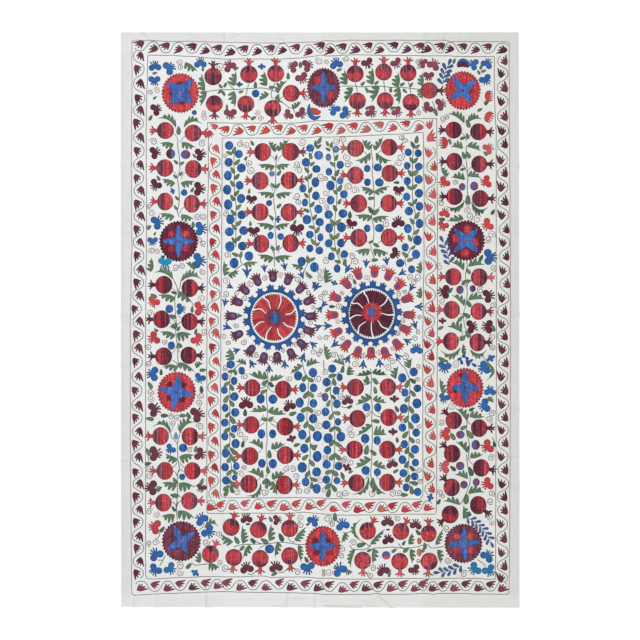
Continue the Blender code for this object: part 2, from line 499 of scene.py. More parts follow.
def fill(outline, dye, grain=90.0, pitch=PATCH_PITCH, base=0.0, band=0.0, shade_at=None):
    """Fill a closed outline on the cloth with raised stitches that run along grain.

    band is the width of upright ridges, and shade_at gives colours from places.
    """
    outline = np.asarray(outline, float)
    if area_of(outline) < 0:
        outline = outline[::-1]
    if band:
        spots = grid_in(outline, band / 2, BAND_ROW_PITCH, 0)
    else:
        spots = grid_in(outline, pitch, pitch, 1)
    flat = np.vstack((outline, spots)) if len(spots) else outline
    rim = len(outline)
    found = delaunay_2d_cdt([tuple(p) for p in flat], [], [list(range(rim))], 1, 1e-5)
    places = np.array([tuple(v) for v in found[0]])
    faces = [list(face) for face in found[2]]
    if not faces:
        return
    away = distance_to(outline, places)
    dome = 1 - (1 - np.minimum(away / DOME_WIDTH, 1.0)) ** 2
    lift = base + RIM_HEIGHT + (FILL_HEIGHT - RIM_HEIGHT) * dome
    if band:
        middle = (outline[:, 0].min() + outline[:, 0].max()) / 2
        lift += BAND_RELIEF * np.cos(2 * math.pi * (places[:, 0] - middle) / band) * dome
    top = np.column_stack((places, ground_top(places[:, 0], places[:, 1]) + lift))
    lookup = {origin: index for index, origins in enumerate(found[3]) for origin in origins}
    edge = [lookup[i] for i in range(rim) if i in lookup]
    skirt = top[edge]
    skirt[:, 2] = ground_top(skirt[:, 0], skirt[:, 1]) + SKIRT_DEPTH
    first = len(top)
    count = len(edge)
    for i in range(count):
        j = (i + 1) % count
        faces.append((edge[i], first + i, first + j, edge[j]))
    points = np.vstack((top, skirt))
    centre = outline.mean(0)
    stitch = turned(points[:, :2] - centre, 90 - grain) + chance.uniform(0, 50)
    if shade_at:
        shade = shade_at(points[:, :2])
    else:
        shade = np.tile(varied(dye), (len(points), 1))
    tone = EDGE_TONE + (MIDDLE_TONE - EDGE_TONE) * np.minimum(away / EDGE_WIDTH, 1.0)
    shade = shade * np.concatenate((tone, np.full(count, EDGE_TONE)))[:, None]
    work_at(centre[0], centre[1], dye).add(points, faces, stitch, shade)


# ---------------------------------------------------------------- chain-stitched lines
CHAIN_STEP = 2.0
CHAIN_HEIGHT = 0.85
CHAIN_SIDE_HEIGHT = -0.2
CHAIN_PIECE = 130
PINCHED_WIDTH = 0.76
PINCHED_HEIGHT = 0.8
SHADE_STEPS = 12
SHADE_CHANGE = 0.16
CURVE_STEPS = 12


def evenly(path):
    """Points one chain step apart along a path."""
    path = np.asarray(path, float)
    run = np.diff(path, axis=0)
    along = np.concatenate(([0], np.cumsum(np.hypot(run[:, 0], run[:, 1]))))
    count = max(int(along[-1] / CHAIN_STEP), 2)
    wanted = np.linspace(0, along[-1], count + 1)
    return np.column_stack([np.interp(wanted, along, path[:, k]) for k in (0, 1)])


def smooth_path(points):
    """Even points along a smooth curve through the given ones."""
    points = np.asarray(points, float)
    ends = np.vstack((2 * points[0] - points[1], points, 2 * points[-1] - points[-2]))
    dense = []
    for a, b, c, d in zip(ends, ends[1:], ends[2:], ends[3:]):
        for t in np.arange(CURVE_STEPS) / CURVE_STEPS:
            slope = (c - a) * t + (2 * a - 5 * b + 4 * c - d) * t**2 + (3 * b - a - 3 * c + d) * t**3
            dense.append(b + slope / 2)
    dense.append(points[-1])
    return evenly(dense)


def chain(path, width, dye, base=0.0):
    """A line of chain stitches along even points: a domed cord, pinched between its links."""
    if len(path) < 3:
        return
    tangent = np.gradient(path, axis=0)
    tangent /= np.maximum(np.hypot(tangent[:, 0], tangent[:, 1]), 1e-9)[:, None]
    normal = np.column_stack((-tangent[:, 1], tangent[:, 0]))
    count = len(path)
    open_link = np.arange(count) % 2 == 0
    half = width / 2 * np.where(open_link, 1.0, PINCHED_WIDTH)[:, None]
    rise = CHAIN_HEIGHT * np.where(open_link, 1.0, PINCHED_HEIGHT)
    rows = []
    for offset, lift in ((1, CHAIN_SIDE_HEIGHT), (0, rise), (-1, CHAIN_SIDE_HEIGHT)):
        side = path + normal * half * offset
        rows.append(np.column_stack((side, ground_top(side[:, 0], side[:, 1]) + base + lift)))
    points = np.stack(rows, axis=1).reshape(-1, 3)
    faces = []
    for i in range(count - 1):
        a = 3 * i
        faces.append((a, a + 3, a + 4, a + 1))
        faces.append((a + 1, a + 4, a + 5, a + 2))
    across = np.tile((-width / 2, 0, width / 2), count)
    along = np.repeat(np.arange(count) * CHAIN_STEP, 3) + chance.uniform(0, 90)
    shades = [varied(dye, SHADE_CHANGE) for _ in range(count // SHADE_STEPS + 1)]
    shade = np.repeat(shades, 3 * SHADE_STEPS, axis=0)[: 3 * count]
    middle = path[count // 2]
    stitch = np.column_stack((across, along))
    work_at(middle[0], middle[1], dye).add(points, faces, stitch, shade)


def long_chain(path, width, dye):
    """A long line, shared out between the regions that it crosses."""
    for start in range(0, len(path) - 1, CHAIN_PIECE):
        chain(path[start : start + CHAIN_PIECE + 1], width, dye)


def line(points, width, dye):
    """A short line through a few points."""
    chain(smooth_path(points), width, dye)


# ---------------------------------------------------------------- outlines of motifs
NEAREST_ANGLE = 1.5


def spread(x, y, angle, points):
    """Put an outline that points along +x at a place, pointing along angle."""
    return turned(points, angle) + (x, y)


def polar(x, y, angle, rx, ry):
    """The place at an angle on an ellipse around x, y."""
    turn = math.radians(angle)
    return (x + rx * math.cos(turn), y + ry * math.sin(turn))


def around(x, y, angle, reach):
    """The place at an angle and a distance from x, y."""
    return polar(x, y, angle, reach, reach)


def fan_outline(body, rays, steps):
    """A round body with rays: each ray has an angle, a reach, a half angle and a sharpness."""
    angles = {360.0 * k / steps for k in range(steps)}
    for middle, _, half, _ in rays:
        angles.update((middle % 360, (middle - half) % 360, (middle + half) % 360))
    kept = []
    for angle in sorted(angles):
        if not kept or angle - kept[-1] > NEAREST_ANGLE:
            kept.append(angle)
    points = []
    for angle in kept:
        reach = body
        for middle, tip, half, sharp in rays:
            away = abs((angle - middle + 180) % 360 - 180) / half
            if away < 1:
                reach = max(reach, body + (tip - body) * (1 - away**sharp))
        points.append(around(0, 0, angle, reach))
    return np.array(points)


WOBBLE = 0.4
STEADY_WOBBLE = 0.3


def wobbled(points, amount=WOBBLE):
    """Move an outline's points by a hair, as a hand would."""
    moves = [(chance.uniform(-amount, amount), chance.uniform(-amount, amount)) for _ in points]
    return points + np.array(moves)


def ellipse(rx, ry, steps):
    turns = [2 * math.pi * k / steps for k in range(steps)]
    return np.array([(rx * math.cos(turn), ry * math.sin(turn)) for turn in turns])


TULIP_TURN = 28.0
TULIP_WOBBLE = 0.7
TULIP_OUTLINE = (
    # x along it and y across it: from its foot along the long petal's side and back
    (-19.5, 0.5),
    (-14.5, 7.2),
    (-6.5, 12.0),
    (4.5, 14.0),
    (21.5, 17.0),
    (22.5, 14.0),
    (14.0, 9.0),
    (7.0, 5.0),
    (18.5, 4.2),
    (18.0, 1.2),
    (10.5, -1.6),
    (4.5, -3.2),
    (14.0, -9.4),
    (12.5, -12.0),
    (5.5, -10.6),
    (-1.0, -8.4),
    (3.5, -16.2),
    (0.5, -18.0),
    (-6.0, -13.2),
    (-13.5, -7.6),
)


def tulip(x, y, angle, vine_side, dye, size=1.0):
    """A small cut flower: a pointed foot that widens to petals, the longest away from its vine."""
    points = np.array(TULIP_OUTLINE) * size * chance.uniform(0.94, 1.08)
    if vine_side == "left":
        points[:, 1] *= -1
        angle += TULIP_TURN
    heading = angle + chance.uniform(-6, 6)
    fill(spread(x, y, heading, wobbled(points, TULIP_WOBBLE)), dye, angle, pitch=FLOWER_PITCH)


FLOWER_SPAN = 59
FLOWER_SHIFT = -4.0
FLOWER_HEART = 8.8
FLOWER_STEP = 6
WING_OFFSET = 14.9
WING_RADIUS = 14.0
WING_ANGLE = 101.0
PRONG_HALF_WIDTH = 2.8
PRONG_ANGLES = (-37, -13, 11, 35)
PRONG_REACH = (28, 33)
NEAREST_HEADING = 2.5


def prong_reach(turn, reach):
    """How far a straight prong reaches from the heart, turn degrees beside its middle."""
    if abs(turn) >= 90:
        return 0.0
    beside = abs(math.sin(math.radians(turn)))
    return min(reach, PRONG_HALF_WIDTH / max(beside, 0.01))


def wing_reach(turn):
    """How far a round petal reaches from the heart, turn degrees beside its middle."""
    off = math.radians(turn)
    chord = WING_RADIUS**2 - (WING_OFFSET * math.sin(off)) ** 2
    if chord <= 0:
        return 0.0
    return WING_OFFSET * math.cos(off) + math.sqrt(chord)


def flower(x, y, angle, span, dye):
    """A winged flower: two round petals, and a spread comb of four prongs between them."""
    size = span / FLOWER_SPAN
    lean = chance.uniform(-4, 4)
    prongs = [(turn + chance.uniform(-3, 3), chance.uniform(*PRONG_REACH)) for turn in PRONG_ANGLES]
    headings = []
    for turn, reach in prongs:
        half = math.degrees(math.asin(PRONG_HALF_WIDTH / reach))
        headings += [turn - half, turn + half]
    tips = tuple(headings)
    for heading in range(-180, 180, FLOWER_STEP):
        if min(abs(heading - tip) for tip in tips) > NEAREST_HEADING:
            headings.append(heading)
    wings = (WING_ANGLE + lean, -WING_ANGLE + lean)
    points = []
    for heading in sorted(headings):
        reaches = [FLOWER_HEART]
        reaches += [prong_reach(heading - turn, reach) for turn, reach in prongs]
        reaches += [wing_reach(heading - wing) for wing in wings]
        points.append(around(FLOWER_SHIFT, 0, heading, max(reaches)))
    outline = wobbled(np.array(points) * size, STEADY_WOBBLE)
    fill(spread(x, y, angle, outline), dye, angle + 90, pitch=FLOWER_PITCH)


FRINGED_BELLY = 0.36
FRINGED_STEPS = 14
FRINGE_RAYS = 5
FRINGE_REACH = 0.30
FRINGE_LENGTH = 6
FRINGE_FOOT = 4.0
FRINGE_FOOT_SHARE = 0.40
FRINGE_HALF_TIP = 1.6


def fringed_flower(x, y, angle, span, dye):
    """An oval flower with a comb of rays along one side."""
    half = span / 2
    points = []
    for turn in np.linspace(0, math.pi, FRINGED_STEPS):
        points.append((-FRINGED_BELLY * span * math.sin(turn), -half * math.cos(turn)))
    half_foot = FRINGE_FOOT_SHARE * span / FRINGE_RAYS
    for k in range(FRINGE_RAYS):
        middle = half * (1 - 2 * (k + 0.5) / FRINGE_RAYS)
        arch = FRINGE_REACH * span * math.sqrt(1 - (middle / half) ** 2)
        reach = arch + FRINGE_LENGTH + chance.uniform(-1.5, 1.5)
        points.append((FRINGE_FOOT, middle + half_foot))
        points.append((reach, middle + FRINGE_HALF_TIP))
        points.append((reach, middle - FRINGE_HALF_TIP))
        points.append((FRINGE_FOOT, middle - half_foot))
    fill(spread(x, y, angle, wobbled(np.array(points))), dye, angle, pitch=FLOWER_PITCH)


# Each ray: its reach as a share of the span, its half angle, its sharpness.
TREFOIL_LOBE = (0.5, 36, 2.4)
TREFOIL_STALK = (0.31, 18, 1.3)
TREFOIL_HEART = 0.2


def ray_at(turn, size, kind):
    """A ray of one kind for fan_outline, at the size of its motif."""
    reach, half, sharp = kind
    return (turn, size * reach, half, sharp)


def trefoil(x, y, angle, span, dye):
    """A small flower of three lobes on a short stalk."""
    rays = [ray_at(turn, span, TREFOIL_LOBE) for turn in (0, 66, -66)]
    rays.append(ray_at(180, span, TREFOIL_STALK))
    outline = fan_outline(span * TREFOIL_HEART, rays, steps=48)
    fill(spread(x, y, angle, wobbled(outline)), dye, angle, pitch=LEAF_PITCH)


LEAF_SMOOTH_SIDE = 5.0
LEAF_LOBED_SIDE = 1.42
LEAF_LOBES_END = 0.80
STEPS_PER_LOBE = 10
LEAST_LOBES = 3
LEAF_LEAN = 0.13
LEAF_SLANT = 50
# Each profile: shares of its run, then shares of its width there.
LEAF_BODY = ((0, 0.08, 0.38, 0.72, 0.90, 1.0), (0.30, 0.85, 1.0, 0.55, 0.26, 0.05))
LEAF_LOBE = ((0, 0.22, 0.50, 0.78, 0.92, 1.0), (0.30, 0.76, 1.0, 0.95, 0.50, 0.30))


def leaf(x_base, y_base, x_tip, y_tip, bow, depth, lobes, dye="green"):
    """A cut leaf: round lobes on the left (depth over 0) or on the right, and a long fine tip."""
    base = np.array((x_base, y_base), float)
    run = np.array((x_tip, y_tip), float) - base
    length = math.hypot(run[0], run[1])
    along = run / length
    across = np.array((-along[1], along[0]))
    side = math.copysign(1, depth)
    lobes = max(lobes, LEAST_LOBES)
    count = STEPS_PER_LOBE * lobes
    smooth_edge, lobed_edge = [], []
    for k in range(count + 1):
        t = k / count
        spine = base + run * t + across * 4 * bow * t * (1 - t)
        body = np.interp(t, *LEAF_BODY)
        phase = t * lobes / LEAF_LOBES_END % 1.0 if t < LEAF_LOBES_END else 0.0
        lobe = np.interp(phase, *LEAF_LOBE)
        lean = LEAF_LEAN * (lobe - LEAF_LOBE[1][0]) * length
        smooth_edge.append(spine - across * side * LEAF_SMOOTH_SIDE * body)
        width = LEAF_LOBED_SIDE * depth * body * lobe
        lobed_edge.append(spine + across * width + along * lean * body)
    outline = np.array(smooth_edge + lobed_edge[::-1][1:-1])
    grain = math.degrees(math.atan2(run[1], run[0])) + side * LEAF_SLANT
    fill(wobbled(outline, STEADY_WOBBLE), dye, grain, pitch=LEAF_PITCH)


BUD_GROWTH = 1.16


def bud(x, y, angle, length, dye="green", fullness=0.29, taper=0.28):
    """A small oval bud, narrower towards its tip, or towards its foot if taper is under 0."""
    oval = ellipse(length / 2 * BUD_GROWTH, length * fullness, steps=18)
    oval[:, 1] *= 1 - taper * oval[:, 0] / (length / 2)
    fill(spread(x, y, angle, oval), dye, angle)


BERRY_BAND = 9.0
BERRY_GROWTH = 1.11
BERRY_WOBBLE = 0.5
SECOND_DYE_FROM = -0.1


def berry(x, y, rx, ry, dye="blue"):
    """A round berry, a little uneven in its dye."""
    colour = varied(dye, 0.12)

    def shade_at(points):
        return stitched(np.tile(colour, (len(points), 1)), points, x, BERRY_BAND)

    outline = wobbled(ellipse(rx * BERRY_GROWTH, ry * BERRY_GROWTH, steps=24), BERRY_WOBBLE)
    fill(outline + (x, y), dye, pitch=LEAF_PITCH, shade_at=shade_at)


def two_tone_berry(x, y, rx, ry, dye, second_dye, second_angle):
    """A round berry with a second dye on one side."""
    first = varied(dye)
    second = varied(second_dye)
    turn = math.radians(second_angle)

    def shade_at(points):
        away = (points[:, 0] - x) * math.cos(turn) + (points[:, 1] - y) * math.sin(turn)
        return np.where((away > SECOND_DYE_FROM * rx)[:, None], second, first)

    outline = wobbled(ellipse(rx, ry, steps=24), STEADY_WOBBLE) + (x, y)
    fill(outline, dye, pitch=SMALL_PITCH, shade_at=shade_at)


BIRDS_FOOT_GROWTH = 1.18
BIRDS_FOOT_PRONG = (0.66, 23, 1.4)
BIRDS_FOOT_STALK = (0.46, 24, 1.5)
BIRDS_FOOT_HEART = 0.23


def birds_foot(x, y, angle, size):
    """A three-pronged sprig."""
    size *= BIRDS_FOOT_GROWTH
    rays = [ray_at(turn, size, BIRDS_FOOT_PRONG) for turn in (0, 45, -45)]
    rays.append(ray_at(180, size, BIRDS_FOOT_STALK))
    outline = fan_outline(size * BIRDS_FOOT_HEART, rays, steps=44)
    fill(spread(x, y, angle, wobbled(outline, STEADY_WOBBLE)), "indigo", angle, pitch=SMALL_PITCH)


BLADE_ENDS = (0.08, 0.92)


def blade(points, width, dye):
    """A curved shape, widest in its middle and pointed at both ends."""
    path = smooth_path(points)[::2]
    tangent = np.gradient(path, axis=0)
    tangent /= np.hypot(tangent[:, 0], tangent[:, 1])[:, None]
    normal = np.column_stack((-tangent[:, 1], tangent[:, 0]))
    half = width / 2 * np.sin(math.pi * np.linspace(*BLADE_ENDS, len(path)))[:, None]
    outline = np.vstack((path + normal * half, (path - normal * half)[::-1]))
    fill(outline, dye)


SPRIG_PITCH = 21.0
SPRIG_STEM_WIDTH = 3.2
SPRIG_LEAF_GAP = 2.5
SPRIG_LEAF_TURN = 46
SPRIG_TAPER = -0.40


def sprig(x_base, y_base, x_tip, y_tip, bow, leaf_length, fullness, dye):
    """A feathered sprig: a bowed stem with leaves on both sides and one at its tip."""
    base = np.array((x_base, y_base), float)
    run = np.array((x_tip, y_tip), float) - base
    length = math.hypot(run[0], run[1])
    across = np.array((-run[1], run[0])) / length

    def stem_at(t):
        return base + run * t + across * 4 * bow * t * (1 - t)

    def leaf_at(t, turn):
        place = stem_at(t)
        ahead = stem_at(t + 0.02) - stem_at(t - 0.02)
        angle = math.degrees(math.atan2(ahead[1], ahead[0])) + turn
        reach = leaf_length * 0.5 + SPRIG_LEAF_GAP
        middle = around(place[0], place[1], angle, reach)
        length_here = leaf_length * chance.uniform(0.92, 1.06)
        bud(middle[0], middle[1], angle, length_here, dye, fullness, SPRIG_TAPER)

    line([stem_at(t) for t in (0, 0.25, 0.5, 0.75, 1)], SPRIG_STEM_WIDTH, dye)
    pairs = max(round(length / SPRIG_PITCH), 2)
    for k in range(pairs):
        leaf_at((k + 0.05) / pairs, SPRIG_LEAF_TURN + chance.uniform(-5, 5))
        leaf_at((k + 0.40) / pairs, -SPRIG_LEAF_TURN + chance.uniform(-5, 5))
    leaf_at(1.0, 0)


CURL_WIDTH = 3.7
CURL_REACH = 1.2
CURL_TURNS = 1.45
CURL_STEPS = 28
CURL_CLOSING = 0.76
CURL_DYES = ("russet", "umber", "umber", "madder")


def curl(x, y, radius):
    """A spiral tendril."""
    angle = chance.uniform(0, 360)
    side = chance.choice((1, -1))
    dye = chance.choice(CURL_DYES)
    path = []
    for k in range(CURL_STEPS + 1):
        t = k / CURL_STEPS
        turn = math.radians(angle) + side * 2 * math.pi * CURL_TURNS * t
        reach = CURL_REACH * radius * (1 - CURL_CLOSING * t)
        path.append((x + reach * math.cos(turn), y + reach * math.sin(turn)))
    chain(evenly(path), CURL_WIDTH, dye)


CROWN_BODY = 8.6
CROWN_POINTS = ((15, 22.5), (-24, 21.0), (61, 24.0), (-67, 24.0))
CROWN_POINT_SHAPE = (21, 1.2)
CROWN_NECK = (180, 15.0, 54, 1.8)


def crown(x, y, angle, dye):
    """A pomegranate's crown: a short neck and four spread points."""
    rays = []
    for turn, reach in CROWN_POINTS:
        rays.append((turn + chance.uniform(-6, 6), reach, *CROWN_POINT_SHAPE))
    outline = fan_outline(CROWN_BODY, rays + [CROWN_NECK], steps=48)
    fill(spread(x, y, angle, wobbled(outline)), dye, angle, pitch=LEAF_PITCH)


STREAK_COUNT = 96
COLUMN_TONES = (-0.34, 0.30)
# Painted light on each ridge and painted shade in the valley between ridges, as a share of the colour.
PAINTED_RIDGE_SHADE = 0.16
POINT_TONES = (0.90, 1.16)
DARK_FLECKS = 0.22
DARK_TONE = 0.55
BRIGHT_TONE = 1.55


def stitched(colour, points, middle, band, bright_flecks=0.06):
    """Give a patch its streaks: columns that differ, painted light on the ridges and painted shade in the
    valleys between them, and dark and bright flecks.
    """
    count = len(points)
    place = (points[:, 0] - middle) / band
    column = np.floor(2 * place + 0.5).astype(int)
    tones = 1 + grit.uniform(*COLUMN_TONES, STREAK_COUNT)
    tone = tones[column % STREAK_COUNT] * (0.96 + PAINTED_RIDGE_SHADE * np.cos(2 * math.pi * place))
    luck = grit.random(count)
    fleck = np.where(luck > 1 - bright_flecks, BRIGHT_TONE, 1.0)
    tone *= np.where(luck < DARK_FLECKS, DARK_TONE, fleck)
    tone *= grit.uniform(*POINT_TONES, count)
    return colour * tone[:, None]


FRUIT_BAND = 7.6
CROWN_REACH = 10.0
# Where the stalk leaves the fruit, in shares of its radii, and its bends from there.
STALK_START = (0.92, 0.36)
STALK = ((0, 0), (9, 6), (16, 16), (19, 27))
WINE_SHADOWS = ("wine", "garnet", "wine", "plum", "mulberry")
RED_SHADOWS = ("wine", "plum", "plum", "mulberry", "mauve")
# Shares of the fruit's radius: where its dark side starts, and how softly.
DARK_SIDE_START = 0.84
DARK_SIDE_BLUR = 0.26
FAR_SIDE_START = 0.72
FAR_SIDE_BLUR = 0.16
FAR_SIDE_DEPTH = 0.75
RIM_BLUR = 0.05
RAGGED = 0.16
GLOW = (-0.6, 0.9)


def fruit_stalk(x, y, rx, ry, crown_angle):
    """The bowed stalk of a fruit that lies on its side, from its inner edge to the vine."""
    inward = -math.copysign(1, math.cos(math.radians(crown_angle)))
    back = -math.copysign(1, y)
    start = np.array((x + inward * rx * STALK_START[0], y + back * ry * STALK_START[1]))
    bends = [start + (inward * u, back * v) for u, v in STALK]
    line(bends, LINE_WIDTH, "vine")


def pomegranate(x, y, rx, ry, flesh_dye, crown_angle, dark_angle, dark_share, dark_rim, crown_dye):
    """A banded fruit, red with a dark side or rim, and its crown."""
    flesh = varied(flesh_dye, 0.06)
    glow = varied("rose", 0.10)
    shadows = WINE_SHADOWS if crown_dye == "wine" else RED_SHADOWS
    darks = np.array([varied(name, 0.10) for name in shadows])
    turn = math.radians(dark_angle)
    edge = DARK_SIDE_START - 2 * dark_share
    columns = 4 * int(rx / FRUIT_BAND) + 16
    ragged = grit.uniform(-RAGGED, RAGGED, columns)
    dark_pick = grit.integers(0, len(darks), columns)
    glowing = np.maximum(grit.uniform(*GLOW, columns), 0)

    def shade_at(points):
        offset = (points - (x, y)) / (rx, ry)
        column = np.floor(2 * (points[:, 0] - x) / FRUIT_BAND + 0.5).astype(int) + columns // 2
        across = offset[:, 0] * math.cos(turn) + offset[:, 1] * math.sin(turn)
        radius = np.hypot(offset[:, 0], offset[:, 1])
        near = np.clip((across + ragged[column] - edge) / DARK_SIDE_BLUR + 0.5, 0, 1)
        beyond = 0.5 * ragged[column] - across - FAR_SIDE_START
        far = FAR_SIDE_DEPTH * np.clip(beyond / FAR_SIDE_BLUR + 0.5, 0, 1)
        share = np.maximum(near, far)
        red = flesh + (glow - flesh) * glowing[column][:, None]
        dark = darks[dark_pick[column]]
        colour = red + (dark - red) * share[:, None]
        rim = np.clip((radius - 1 + dark_rim) / RIM_BLUR, 0, 1) * (dark_rim > 0)
        colour = colour + (dark - colour) * rim[:, None]
        return stitched(colour, points, x, FRUIT_BAND)

    fill(wobbled(ellipse(rx, ry, steps=44)) + (x, y), "red", band=FRUIT_BAND, shade_at=shade_at)
    away = math.radians(crown_angle)
    if abs(math.sin(away)) < 0.4:
        fruit_stalk(x, y, rx, ry, crown_angle)
    reach = math.hypot(rx * math.cos(away), ry * math.sin(away)) + CROWN_REACH
    crown(x + reach * math.cos(away), y + reach * math.sin(away), crown_angle, crown_dye)


TOOTH_PROFILE = (
    # share of the tooth's run, share of its depth
    (0.02, 0.3),
    (0.14, 0.9),
    (0.30, 1.1),
    (0.46, 0.9),
    (0.58, 0.3),
    (0.70, -1.0),
    (0.90, -1.0),
)


def toothed_ellipse(rx, ry, teeth, depth):
    """An ellipse with even round teeth around it."""
    points = []
    for k in range(teeth):
        for share, rise in TOOTH_PROFILE:
            turn = 2 * math.pi * (k + share) / teeth
            grow = rise * depth
            points.append(((rx + grow) * math.cos(turn), (ry + grow) * math.sin(turn)))
    return np.array(points)


STAR_TIP_ANGLE = 4.0
STAR_LENGTHENING = 5.0
STAR_STEPS = 7
STAR_BULGE = 1.3
STAR_WOBBLE = 1.3


def bowed_side(start, end, bulge):
    """Even places from start towards end, bowed out by bulge."""
    shares = [k / STAR_STEPS for k in range(STAR_STEPS)]
    return [start + (end - start) * share + bulge * math.sin(math.pi * share) for share in shares]


def star_outline(x, y, tips, notch_radius):
    """A star of broad arms that taper to narrow tips, with a notch midway between them."""
    arms = sorted((math.degrees(math.atan2(v - y, u - x)), math.hypot(u - x, v - y)) for u, v in tips)
    points = []
    for index, (angle, reach) in enumerate(arms):
        next_angle, next_reach = arms[(index + 1) % len(arms)]
        gap = (next_angle - angle) % 360
        start = np.array(around(x, y, angle + STAR_TIP_ANGLE, reach + STAR_LENGTHENING))
        notch = np.array(around(x, y, angle + gap / 2, notch_radius))
        end = np.array(around(x, y, angle + gap - STAR_TIP_ANGLE, next_reach + STAR_LENGTHENING))
        out = np.array(around(0, 0, angle + 90, STAR_BULGE))
        next_out = np.array(around(0, 0, angle + gap - 90, STAR_BULGE))
        points += bowed_side(start, notch, out)
        points += bowed_side(notch, end, next_out)
        points.append(end)
    return np.array(points)


ROSETTE_BAND = 8.0
ROSETTE_TEETH = 36
ROSETTE_TOOTH = 2.4
ROSETTE_RIM = 0.93
ROSETTE_RIM_TONE = 0.72
ROSETTE_FLECKS = 0.22
SPOT_REACH = 1.25
SPOT_RAGGED = 0.25
SPOT_BLUR = 0.5
ROSETTE_HEART = (7.0, 6.0)
# What lies on another patch starts this much higher.
STAR_LIFT = 0.7
ROSETTE_HEART_LIFT = 1.15


def rosette(x, y, rx, ry, dye, star_dye, heart_dye, notch_radius, tips, spots):
    """A great toothed disc in upright bands, a four-armed star on it, and spots between its arms."""
    colour = varied(dye, 0.05)
    star_colour = varied(star_dye, 0.05)

    def shade_at(points):
        shade = np.tile(colour, (len(points), 1))
        for spot_x, spot_y, size_x, size_y, spot_dye in spots:
            away = np.hypot((points[:, 0] - spot_x) / size_x, (points[:, 1] - spot_y) / size_y)
            edge = SPOT_REACH + grit.uniform(-SPOT_RAGGED, SPOT_RAGGED, len(points))
            share = np.clip((edge - away) / SPOT_BLUR, 0, 1)
            shade += (np.array(DYES[spot_dye]) - shade) * share[:, None]
        rim_share = np.hypot((points[:, 0] - x) / rx, (points[:, 1] - y) / ry)
        shade *= np.where(rim_share > ROSETTE_RIM, ROSETTE_RIM_TONE, 1.0)[:, None]
        return stitched(shade, points, x, ROSETTE_BAND, ROSETTE_FLECKS)

    def star_shade_at(points):
        return stitched(np.tile(star_colour, (len(points), 1)), points, x, ROSETTE_BAND)

    rim = toothed_ellipse(rx, ry, ROSETTE_TEETH, ROSETTE_TOOTH)
    fill(rim + (x, y), dye, band=ROSETTE_BAND, shade_at=shade_at)
    star = star_outline(x, y, tips, notch_radius)
    fill(wobbled(star, STAR_WOBBLE), star_dye, base=STAR_LIFT, band=ROSETTE_BAND, shade_at=star_shade_at)
    heart = ellipse(*ROSETTE_HEART, steps=16) + (x, y)
    fill(heart, heart_dye, pitch=HEART_PITCH, base=ROSETTE_HEART_LIFT)


PETAL_ROOT = 27.0
PETAL_STREAKS = 90
# Half the gap between two petals at GAP_RADIUS, and its growth per mm outwards.
HALF_GAP = 1.6
GAP_GROWTH = 0.03
GAP_RADIUS = 35
PETAL_TOOTH_ANGLE = 5.6
PETAL_TOOTH_TOP = 7.0
PETAL_TOOTH_FOOT = -0.5


def medallion_petals(x, y, rx, ry, gaps, dye):
    """Whirling petals between curved gaps, from the heart out to a toothed rim."""
    count = len(gaps)
    colour = varied(dye, 0.05)
    streaks = grit.uniform(0.50, 1.25, PETAL_STREAKS)
    streak_angle = 360 / PETAL_STREAKS

    def shade_at(points):
        angle = np.degrees(np.arctan2(points[:, 1] - y, points[:, 0] - x))
        tone = streaks[np.floor(angle / streak_angle).astype(int) % PETAL_STREAKS]
        tone = tone * grit.uniform(0.85, 1.12, len(points))
        return colour * tone[:, None]

    for index in range(count):
        sides = []
        for gap, turn_by in ((gaps[index], 1), (gaps[(index + 1) % count], -1)):
            edge = []
            for point in smooth_path(gap)[::3]:
                radius = math.hypot(point[0] - x, point[1] - y)
                angle = math.degrees(math.atan2(point[1] - y, point[0] - x))
                half_gap = HALF_GAP + GAP_GROWTH * (radius - GAP_RADIUS)
                edge.append((angle + turn_by * math.degrees(half_gap / radius), radius))
            sides.append(edge)
        start = sides[0][0][0]
        end = start + (sides[1][0][0] - start) % 360
        ends = [edge[-1][0] for edge in sides]
        outline = [around(x, y, ends[0], PETAL_ROOT)]
        outline += [around(x, y, angle, radius) for angle, radius in sides[0][::-1]]
        steps = 2 * max(int((end - start) / PETAL_TOOTH_ANGLE), 3)
        for k in range(steps + 1):
            grow = PETAL_TOOTH_TOP if k % 2 else PETAL_TOOTH_FOOT
            outline.append(polar(x, y, start + (end - start) * k / steps, rx + grow, ry + grow))
        outline += [around(x, y, angle, radius) for angle, radius in sides[1]]
        outline.append(around(x, y, ends[1], PETAL_ROOT))
        petal = wobbled(np.array(outline), STEADY_WOBBLE)
        fill(petal, dye, (start + end) / 2, pitch=LEAF_PITCH, shade_at=shade_at)


RING_DEPTH = 20
INNER_STEPS = 6
HALF_SEGMENT = (
    # share of the run from one notch to the next, height over the ring's edge
    (0.00, -9.0),
    (0.115, -8.0),
    (0.195, -5.2),
    (0.225, -1.5),
    (0.205, 2.4),
    (0.100, 8.6),
    (0.235, 5.2),
    (0.285, 12.5),
    (0.365, 5.2),
    (0.485, 15.5),
)
SEGMENT_EDGE = tuple((1 - share, grow) for share, grow in HALF_SEGMENT) + HALF_SEGMENT[::-1]


def medallion_ring(x, y, rx, ry, notches, first_notch):
    """A ring of segments with five teeth, the outer two leaning over the round notches."""
    period = 360 / notches
    for index in range(notches):
        start = first_notch + index * period
        points = []
        for k in range(INNER_STEPS + 1):
            turn = start + period * k / INNER_STEPS
            points.append(polar(x, y, turn, rx - RING_DEPTH, ry - RING_DEPTH))
        for share, grow in SEGMENT_EDGE:
            points.append(polar(x, y, start + period * share, rx + grow, ry + grow))
        fill(wobbled(np.array(points)), "royal", start + period / 2, pitch=RING_PITCH)


RING_TULIP_BODY = 16.5
RING_TULIP_RAYS = (
    (0, 32, 13, 1.2),
    (24, 32, 13, 1.2),
    (-24, 32, 13, 1.2),
    (49, 32, 16, 1.1),
    (-49, 32, 16, 1.1),
    (180, 25, 64, 1.9),
)
RING_TULIP_SPOT = (11.0, 9.5)
RING_TULIP_SPOT_SETBACK = (7.0, 0)
RING_TULIP_SPOT_LIFT = 0.5


